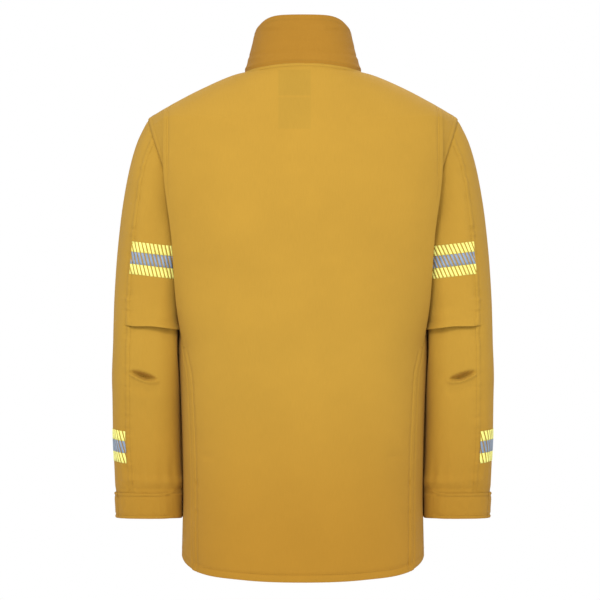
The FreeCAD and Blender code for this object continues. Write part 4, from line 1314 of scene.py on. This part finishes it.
def make_straps():
    """Wrist straps: the sewn part, the tab that opens, and their stitching."""
    tab = strap_surface(STRAP_FREE, STRAP_HINGE, 74, 72, True)
    sewn = strap_surface(STRAP_HINGE + 0.03, STRAP_SEWN, 56, 75, False)
    down = np.linspace(0.12, 0.88, 30)
    tab_rows, sewn_rows = [], []
    for v in (0.115, 0.885):
        tab_rows += stitches(tab, tab.us[3:], v)
        sewn_rows += stitches(sewn, sewn.us[:-2], v)
    tab_rows += stitches(tab, tab.us[0] + 4.5 / CUFF_RADIUS, down)
    for offset in (4.5, 26.0):
        sewn_rows += stitches(sewn, sewn.us[0] + offset / CUFF_RADIUS, down)
    long_edges = [("v1", 0.8, 6), ("v0", 0.8, 6)]
    tab_cloth = tab.make("right_wrist_tab_cloth", SHELL, long_edges + [("u0", 0.8, 6)])
    sewn_cloth = sewn.make("right_wrist_strap_cloth", SHELL, long_edges)
    add_both(tab_cloth, "wrist_tab", ["cuff_tab"], sheet=(tab.cut, "folded", "cuff_band_cloth"))
    add_both(sewn_cloth, "forearm", ["cuff_strap"], sheet=(sewn.cut, "folded", "cuff_band_cloth"))
    add_both(soup("right_wrist_tab_stitching", tab_rows, THREAD_MATERIAL), "wrist_tab")
    add_both(soup("right_wrist_strap_stitching", sewn_rows, THREAD_MATERIAL), "forearm")


def make_cuffs():
    """Cuff bands, with their straps and hook patches."""
    band = Surface(
        np.linspace(0, 2 * math.pi, 121)[:-1], np.linspace(CUFF_SHARE + 0.001, 1, 16),
        lambda u, v: beside_body(sleeve_point(u, v, 0.4), 1.4), CUFF_MIDDLE, True,
    )
    band.push(0.35 * noise(band.u * 8, band.v * 40, 71))
    cuff = shell("right_cuff_band_cloth", band.points, SHELL, 1.8, True, band.sign)
    cut = cut_size(band.points, True)
    add_both(cuff, "forearm", ["cuff_band"], sheet=(cut, "folded", "lower_sleeve_cloth"))
    make_straps()
    hooks = Surface(
        np.linspace(STRAP_FREE + 0.12, STRAP_FREE + 0.9, 16), np.linspace(CUFF_SHARE + 0.012, 0.99, 12),
        lambda u, v: sleeve_point(u, v, 0.7), CUFF_MIDDLE,
    )
    hooks.sign = -1 * hooks.sign
    patch = hooks.make("right_wrist_hook_patch", NAP, thick=0.5)
    add_both(patch, "wrist_tab", ["cuff_hooks"])


def paint(node, material):
    """Gives a CAD node a finished material."""
    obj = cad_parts[node]
    obj.data.materials.clear()
    obj.data.materials.append(material)


# ---- zip and storm flap ----
ZIP_TOP_Z, ZIP_END_Z = -196.0, -746.0
TAPE_Y = FRONT_DEPTH - 3.4
FLAP_TOP_Z, FLAP_END_Z = YOKE_Z - 2, HEM_SIDE_Z + 8
FLAP_THICK = 2.2
FLAP_DOWN = np.linspace(FLAP_END_Z + 5, FLAP_TOP_Z - 5, 200)     # heights of the stitching down it


def flat_piece(x0, x1, z0, z1, y, spacing=4.0, back=False):
    """Upright surface facing the front, or the back, of the coat."""
    us = np.linspace(x0, x1, max(4, int((x1 - x0) / spacing)))
    vs = np.linspace(z0, z1, max(4, int((z1 - z0) / spacing)))
    reference = (0, y + (900 if back else -900), (z0 + z1) / 2)
    return Surface(us, vs, lambda u, v: stack(u, y, v), reference)


def make_zip():
    """Zip tapes as cloth, and the zip's CAD pieces in brass."""
    tape = flat_piece(1.4, 20, ZIP_END_Z, ZIP_TOP_Z + 4, TAPE_Y + 1.0, 3.0)
    tape.push(0.12 * noise(tape.u / 3, tape.v / 6, 81))
    add_both(tape.make("right_zip_tape_cloth", TAPE, thick=0.9), "coat", ["zip_tape"])
    for node in ("right_zip_teeth", "left_zip_teeth", "zip_box", "zip_slider", "zip_pull"):
        paint(node, BRASS)


def make_storm_flap():
    """The storm flap's outer cloth, lining and stitching."""
    outer = flat_piece(FLAP_HINGE_X, FLAP_EDGE_X, FLAP_END_Z, FLAP_TOP_Z, FLAP_Y + FLAP_THICK)
    edge = FLAP_EDGE_X - outer.u - 5
    outer.push(
        0.8 * noise(outer.u / 40, outer.v / 120, 82) - 0.35 * bell(edge, 1.3)
        + pucker(outer.v, edge, 83, 10, 6, 0.35)
    )
    flap = outer.make("storm_flap_cloth", SHELL, [("u1", 1.0, 12), ("v0", 1.0, 10), ("v1", 1.0, 10)])
    add(flap, "storm_flap", ["storm_flap"])
    lining = flat_piece(
        FLAP_HINGE_X, FLAP_EDGE_X - 2, FLAP_END_Z + 2, FLAP_TOP_Z - 2, FLAP_Y + 0.1, back=True
    )
    add(lining.make("storm_flap_lining", LINING, thick=0.6), "storm_flap", ["storm_flap"])
    rows = []
    for inset in (5.0, 11.0):
        rows += stitches(outer, FLAP_EDGE_X - inset, FLAP_DOWN)
    across = np.linspace(FLAP_HINGE_X + 2, FLAP_EDGE_X - 5, 40)
    for height in (FLAP_END_Z + 8, FLAP_TOP_Z - 6):
        rows += stitches(outer, across, height)
    add(soup("storm_flap_stitching", rows, THREAD_MATERIAL), "storm_flap")


def make_storm_flap_ends():
    """The storm flap's sewn edge and its upper end, which don't move."""

    def sewn(u, v):
        x = lerp(FLAP_HINGE_X - 14, FLAP_HINGE_X - 0.4, u)
        return stack(x, lerp(front_y(x, v) + 1.0, FLAP_Y + FLAP_THICK + 0.2, smooth(0, 1, u)), v)

    edge = Surface(np.linspace(0, 1, 10), np.linspace(FLAP_END_Z, FLAP_TOP_Z, 130), sewn, (0, -900, -470))
    edge.push(0.5 * noise(edge.u * 3, edge.v / 60, 84) * edge.u)
    base = edge.make("storm_flap_sewn_edge", SHELL, [("u0", 0.5, 3)])
    add(base, "coat")
    rows = stitches(edge, 0.16, FLAP_DOWN)

    def top_shape(u, v):
        x = lerp(FLAP_HINGE_X, FLAP_EDGE_X, u)
        z = lerp(FLAP_TOP_Z + 1, -NECK_FRONT_DROP - 6, v)
        lift = (FLAP_THICK + 6) * lerp(1, 0.6, v)
        lift = lift * (1 - 0.6 * smooth(10, 0, x - FLAP_HINGE_X) * smooth(0, 0.2, v))
        return stack(x, front_y(x, z) + lift + (front_y(0 * x, z) - front_y(x, z)) * 0.9, z)

    top = Surface(np.linspace(0, 1, 24), np.linspace(0, 1, 34), top_shape, (0, -900, -470))
    top.push(0.5 * noise(top.u * 2, top.v * 3, 85))
    cloth = top.make("storm_flap_top_cloth", SHELL, [("u0", 1.0, 6), ("u1", 1.0, 10), ("v1", 1.0, 8)], 1.0)
    add(cloth, "coat", ["storm_flap_top"])
    up = np.linspace(0.03, 0.97, 60)
    rows += stitches(top, 5 / 72, up) + stitches(top, 1 - 5 / 72, up) + stitches(top, up, 0.95)
    add(soup("storm_flap_sewn_stitching", rows, THREAD_MATERIAL), "coat")


def make_storm_strips():
    """Hook strip inside the storm flap and the loop strip that it closes on."""
    hook = flat_piece(14, 36, FLAP_END_Z + 30, FLAP_TOP_Z - 20, FLAP_Y - 1.3, 3.0, back=True)
    nap = hook.make("storm_hook_strip_nap", NAP, thick=1.1)
    add(nap, "storm_flap", ["storm_hook_strip"])
    loop = flat_piece(14, 36, FLAP_END_Z + 30, FLAP_TOP_Z - 50, FRONT_DEPTH + 1.6, 3.0)
    add(loop.make("storm_loop_strip_nap", NAP, thick=1.0), "coat", ["storm_loop_strip"])


# ---- pockets ----
FLAP_RISE, FLAP_KNEE, FLAP_OVERHANG, FLAP_STANDOFF = 16.0, 13.0, 4.0, 3.0


class Pocket:
    """Bellows pocket on the front panel, under a flap that lifts."""

    def __init__(self, x0, x1, top_z, height, depth, flap_height):
        self.x0, self.x1, self.top_z, self.height, self.flap_height = x0, x1, top_z, height, flap_height
        self.heights = top_z - height * np.linspace(0, 1, 7)
        start = np.array([x0, float(self.skin(x0))])
        end = np.array([x1, float(self.skin(x1))])
        self.width = float(np.linalg.norm(end - start))
        self.along = (end - start) / self.width
        self.out = np.array([-self.along[1], self.along[0]])
        self.start = start
        xs = np.linspace(x0, x1, 9)
        self.bulge = max(float((np.array([x, self.skin(x)]) - start) @ self.out) for x in xs)
        self.depth = self.bulge + depth

    def skin(self, x):
        """How far forward the coat comes behind the pocket."""
        return np.max([front_y(x, z) for z in self.heights], axis=0) + 0.8

    def spot(self, along, out, z):
        """Point along the pocket and out from it, at this height."""
        x = self.start[0] + self.along[0] * along + self.out[0] * out
        y = self.start[1] + self.along[1] * along + self.out[1] * out
        return stack(x, y, z)

    def bag(self, seed):
        """The bag from one side round its front to the other, flat against the coat at its foot."""
        low = self.top_z - self.height

        def base(u, v):
            turn = math.pi * (1 - u)
            along = self.width / 2 * (1 + np.sign(np.cos(turn)) * np.abs(np.cos(turn)) ** 0.16)
            out = self.depth * np.abs(np.sin(turn)) ** 0.16
            full = self.spot(along, out, lerp(low, self.top_z, v))
            x = self.start[0] + self.along[0] * along
            flat = stack(x, self.skin(x), lerp(low, self.top_z, v))
            rise = 1 - np.clip(1 - v * self.height / 9, 0, 1) ** 3
            return lerp(flat, full, rise[..., None])

        ease = np.linspace(-1, 1, 110)
        us = 0.5 + 0.5 * np.sign(ease) * np.abs(ease) ** 0.8
        us = np.unique(np.concatenate([us, np.linspace(0, 0.05, 24), np.linspace(0.95, 1, 24)]))
        vs = np.concatenate([np.linspace(0, 9 / self.height, 10), np.linspace(12 / self.height, 1, 44)])
        surface = Surface(us, vs, base, (self.start[0] + 50, 0, low))
        rel = surface.points[..., :2] - self.start
        out, along = rel @ self.out, rel @ self.along
        side = smooth(12, 2, np.minimum(along, self.width - along))
        across = np.sin(math.pi * np.clip(along / self.width, 0, 1))
        slack = 1.3 * noise(along / 50, surface.v * 3, seed) - 2.5 * surface.v ** 3 * across
        surface.push(
            -2.2 * side * bell(out - self.depth * 0.5, 4)
            + (1 - side) * slack
            - 0.4 * bell((1 - surface.v) * self.height - 16, 1.5)
        )
        return surface

    def sheet(self, first, last, top, bottom, off, seed, back=False):
        """Piece of the flap: it slopes out over the bag's mouth, then hangs in front of the bag."""
        reach = self.depth - self.bulge - FLAP_STANDOFF + 2.2

        def base(u, v):
            slope = reach * np.minimum(1, v / FLAP_KNEE) - 1.2 * bell(v - FLAP_KNEE, 4)
            return self.spot(u, self.bulge + FLAP_STANDOFF + slope + off, self.top_z + FLAP_RISE - v)

        middle = self.spot(self.width / 2, 900 if back else -900, self.top_z)
        surface = Surface(np.linspace(first, last, 44), np.linspace(top, bottom, 26), base, middle)
        surface.push(0.9 * noise(surface.u / 55, surface.v / 45, seed) * smooth(0, 20, surface.v))
        return surface


def make_pocket(kind, pocket, seed):
    """One kind of pocket on both fronts: bag, flap with its lining, stitching and hooks, and its sewn edge."""
    bag = pocket.bag(seed)
    cloth = bag.make(f"right_{kind}_pocket_cloth", SHELL, [("v1", 0.8, 14)], 0.8)
    add_both(cloth, "coat", [f"{kind}_pocket"], sheet=(bag.cut, "hung", "front_panel_cloth"))
    wide, tall = pocket.width + FLAP_OVERHANG, pocket.flap_height
    flap = pocket.sheet(-FLAP_OVERHANG, wide, 0, tall, 2.2, seed + 1)
    edge = np.minimum(np.minimum(flap.u + FLAP_OVERHANG, wide - flap.u), tall - flap.v)
    flap.push(-0.6 * bell(edge - 4.5, 1.3) + pucker(flap.u + flap.v, edge - 4.5, seed + 2, 9, 6, 0.35))
    ends = (-FLAP_OVERHANG + 4.5, wide - 4.5)
    rows = []
    for inset in (4.5, 10.5):
        rows += stitches(flap, np.linspace(*ends, 80), tall - inset)
    for end in ends:
        rows += stitches(flap, end, np.linspace(2, tall - 4.5, 40))
    rolls = [("u0", 0.9, 8), ("u1", 0.9, 8), ("v1", 0.9, 8)]
    body = f"{kind}_flap"
    cloth = flap.make(f"right_{kind}_flap_cloth", SHELL, rolls, 0.8)
    add_both(cloth, body, [body], sheet=(flap.cut, "hung", f"{kind}_flap_sewn_edge"))
    lining = pocket.sheet(-FLAP_OVERHANG + 2, wide - 2, 0, tall - 2, 0.1, seed + 1, True)
    add_both(lining.make(f"right_{kind}_flap_lining", LINING, thick=0.6), body, [body])
    add_both(soup(f"right_{kind}_flap_stitching", rows, THREAD_MATERIAL), body)
    margin = pocket.width * 0.28
    hooks = pocket.sheet(margin, pocket.width - margin, tall * 0.6, tall - 6, -0.8, seed + 3, True)
    patch = hooks.make(f"right_{kind}_hook_patch", NAP, thick=0.6)
    add_both(patch, body, [f"{kind}_hooks"])

    def sewn(u, v):
        z = pocket.top_z + FLAP_RISE + 0.2 + v
        hinge = pocket.spot(u, pocket.bulge + FLAP_STANDOFF + 2.2, z)
        skin = stack(hinge[..., 0], front_y(hinge[..., 0], z) + 1.0, z)
        return lerp(hinge, skin, (np.clip(v / 8, 0, 1) ** 0.6)[..., None])

    behind = pocket.spot(pocket.width / 2, -900, pocket.top_z)
    strip = Surface(np.linspace(-FLAP_OVERHANG, wide, 40), np.linspace(0, 12, 8), sewn, behind)
    cloth = strip.make(f"right_{kind}_flap_sewn_edge", SHELL, [("v1", 0.5, 3)])
    add_both(cloth, "coat", sheet=(strip.cut, "stretched", "front_panel_cloth"))


# ---- small pieces ----
LOOP_Y = -75.7
LOOP_HALF, LOOP_DROP, LOOP_BAND = 32.0, 22.0, 4.5
FACING_HALF = 78.0


def inward(p, distance):
    """Points moved towards the inside of the torso."""
    target = stack(p[..., 0] * 0.55, 0, np.minimum(p[..., 2], -160))
    return p + unit(target - p) * distance


def make_neck_facing():
    """Facing inside the back of the neck, with two blank labels."""

    def facing_shape(u, v):
        x = lerp(-FACING_HALF, FACING_HALF, u)
        z = lerp(-4.0, lerp(-70.0, -24.0, (x / FACING_HALF) ** 2), v)
        return inward(stack(x, back_y(x, z), z), 4.0)

    facing = Surface(even(156), even(66), facing_shape, (0, -300, -40))
    facing.push(0.3 * noise(facing.u * 4, facing.v * 2, 91))
    cloth = facing.make("neck_facing_cloth", LINING, [("v1", 0.6, 6)], 0.6)
    add(cloth, "coat", ["neck_facing"])
    rows = stitches(facing, np.linspace(0.02, 0.98, 90), 0.93)

    for number, (top, end) in enumerate(((-4.0, -40.0), (-44.0, -92.0)), 1):
        def label_shape(u, v, top=top, end=end):
            x, z = lerp(-40.0, 12.0, u), lerp(top, end, v)
            return inward(stack(x, back_y(x, z), z), 5.8)

        label = Surface(even(52), even(48), label_shape, (0, -300, -40))
        label.push(0.25 * noise(label.u * 3, label.v * 3, 92 + number))
        add(label.make(f"neck_label_{number}", LABEL, thick=0.4), "coat", ["neck_labels"])
        up = np.linspace(0.05, 0.95, 40)
        ring = np.concatenate([up, np.full(40, 0.95), np.linspace(0.95, 0.05, 40), np.full(40, 0.05)])
        rows += stitches(label, ring, np.roll(ring, 40))
    add(soup("neck_stitching", rows, THREAD_MATERIAL), "coat")


def make_hanger_loop():
    """Hanger loop, and its two ends, which are sewn down."""

    def loop_shape(u, v):
        turn = math.pi * u
        width = lerp(LOOP_HALF, LOOP_HALF - LOOP_BAND, v)
        depth = lerp(LOOP_DROP, LOOP_DROP - LOOP_BAND, v)
        x = -width * np.sign(np.cos(turn)) * np.abs(np.cos(turn)) ** 0.55
        return stack(x, LOOP_Y + 1.5 + 0.3 * np.sin(turn * 6), 6.0 - depth * np.sin(turn) ** 0.55)

    loop = Surface(np.linspace(0, 1, 70), np.linspace(0, 1, 5), loop_shape, (0, -300, -10))
    add(loop.make("hanger_loop_webbing", WEBBING, thick=1.3), "hanger_loop", ["hanger_loop"])

    for side, sign in (("right", 1), ("left", -1)):
        def end_shape(u, v, sign=sign):
            x = sign * lerp(LOOP_HALF - LOOP_BAND, LOOP_HALF, u)
            y = lerp(-82.5, LOOP_Y + 1.5, smooth(0, 1, v))
            return stack(x, y, 10.4 - 2.8 * v ** 2)

        end = Surface(np.linspace(0, 1, 4), np.linspace(0, 1, 8), end_shape, (0, -78, -100))
        add(end.make(f"{side}_hanger_loop_end", WEBBING, thick=1.2), "coat")


def make_throat_tab():
    """Tab that closes the collar, with rounded corners."""

    def tab_shape(u, v):
        turn = lerp(math.radians(114.5), math.radians(58), u)
        return collar_wall(turn, lerp(0.28, 0.74, v), 3.0)

    tab = Surface(even(90), even(50), tab_shape, (0, 0, 0))
    from_end, from_side = (1 - tab.u) * 90, np.minimum(tab.v, 1 - tab.v) * 50
    corner = np.hypot(np.maximum(0, 8 - from_end), np.maximum(0, 8 - from_side))
    tab.push(0.3 * noise(tab.u * 5, tab.v * 4, 95) - 0.2 * smooth(6, 9, corner))
    rolls = [(side, 0.7, 6) for side in ("u0", "u1", "v0", "v1")]
    cloth = tab.make("throat_tab_cloth", SHELL, rolls)
    add(cloth, "throat_tab", ["throat_tab"])
    across = np.linspace(0.06, 0.94, 50)
    rows = stitches(tab, across, 0.1) + stitches(tab, across, 0.9)
    rows += stitches(tab, 0.94, across) + stitches(tab, 0.06, across)
    add(soup("throat_tab_stitching", rows, THREAD_MATERIAL), "throat_tab")


# ---- the scene ----
def make_torso():
    """Back, gussets, side panels, fronts and yokes."""
    rows = make_back()
    gusset, side, front, yoke = gusset_surface(), side_surface(), front_surface(), yoke_surface()
    for name, surface, rolls in (
        ("pleat_gusset", gusset, []),
        ("side_panel", side, [("v0", 1.0, 10)]),
        ("front_panel", front, [("v0", 1.0, 10), ("u0", 1.0, 10)]),
        ("front_yoke", yoke, []),
    ):
        cloth = surface.make(f"right_{name}_cloth", SHELL, rolls)
        add_both(cloth, "coat", [name], sheet=(surface.cut, "hung", "back_panel_cloth"))
    ends = np.linspace(0.02, 0.98, 160)
    half = stitches(side, ends, 10.5 / 500) + stitches(front, ends, 10.5 / 570)
    half += stitches(front, 6.5 / 141, ends)
    for offset in (3.0, 9.0):
        half += stitches(side, 1 - offset / 200, ends)
        half += stitches(yoke, ends, offset / 150)
        half += stitches(yoke, 1 - offset / 240, ends)
    for offset in (0.06, 0.26):
        half += stitches(gusset, 1 - offset, np.linspace(0.56, 0.995, 200))
    return rows + half + flipped(half)


def make_stage():
    """Pale floor under the coat, lights and camera."""
    size = 7.0
    line = np.linspace(-size, size, 24)
    x, y = np.meshgrid(line, line * 0.55 - 1.2, indexing="ij")
    points = stack(x, y, -1.45) / MM
    nodes = Nodes("pale_floor")
    mottle = nodes.noise(nodes.place, Scale=2.0)
    tone = nodes.between(mottle, (0.80, 0.80, 0.80), (0.84, 0.84, 0.84))
    nodes.link(tone, nodes.shader.inputs["Base Color"])
    nodes.shader.inputs["Roughness"].default_value = 0.9
    floor = shell("studio_floor", points, nodes.material, 20.0)

    world = bpy.data.worlds.new("studio")
    bpy.context.scene.world = world
    world.use_nodes = True
    world.node_tree.nodes["Background"].inputs["Color"].default_value = (1, 1, 1, 1)
    world.node_tree.nodes["Background"].inputs["Strength"].default_value = 1.0

    def area(name, location, target, width, power):
        light = bpy.data.lights.new(name, "AREA")
        light.shape, light.size, light.energy = "SQUARE", width, power
        obj = bpy.data.objects.new(name, light)
        bpy.context.collection.objects.link(obj)
        obj.location = location
        obj.rotation_euler = (Vector(target) - Vector(location)).to_track_quat("-Z", "Y").to_euler()

    area("key_light", (-0.3, -2.3, 1.45), (0, -0.1, -0.3), 0.6, 33)
    area("fill_light", (0.1, -4.0, -0.3), (0, 0, -0.36), 0.5, 26)
    area("front_light", (0.5, 2.4, 1.5), (0, 0, -0.3), 0.9, 26)

    camera = bpy.data.cameras.new("camera")
    camera.sensor_width = 36
    distance, frame_height = 7.0, 0.942
    camera.lens = camera.sensor_width * distance / frame_height
    obj = bpy.data.objects.new("camera", camera)
    bpy.context.collection.objects.link(obj)
    obj.location = (-0.0047, -0.07 - distance, -0.3606)
    obj.rotation_euler = (math.pi / 2, 0, 0)
    bpy.context.scene.camera = obj
    bpy.context.scene.view_settings.view_transform = "Standard"


make_stage()
coat_rows = make_torso() + make_collar()
add(soup("coat_stitching", coat_rows, THREAD_MATERIAL), "coat")
make_trim(make_sleeves())
make_cuffs()
make_zip()
make_storm_flap()
make_storm_flap_ends()
make_storm_strips()
CHEST = Pocket(x0=52, x1=164, top_z=-224, height=140, depth=15, flap_height=62)
CARGO = Pocket(x0=50, x1=166, top_z=-556, height=176, depth=22, flap_height=72)
make_pocket("chest", CHEST, 100)
make_pocket("cargo", CARGO, 110)
make_neck_facing()
make_hanger_loop()
make_throat_tab()
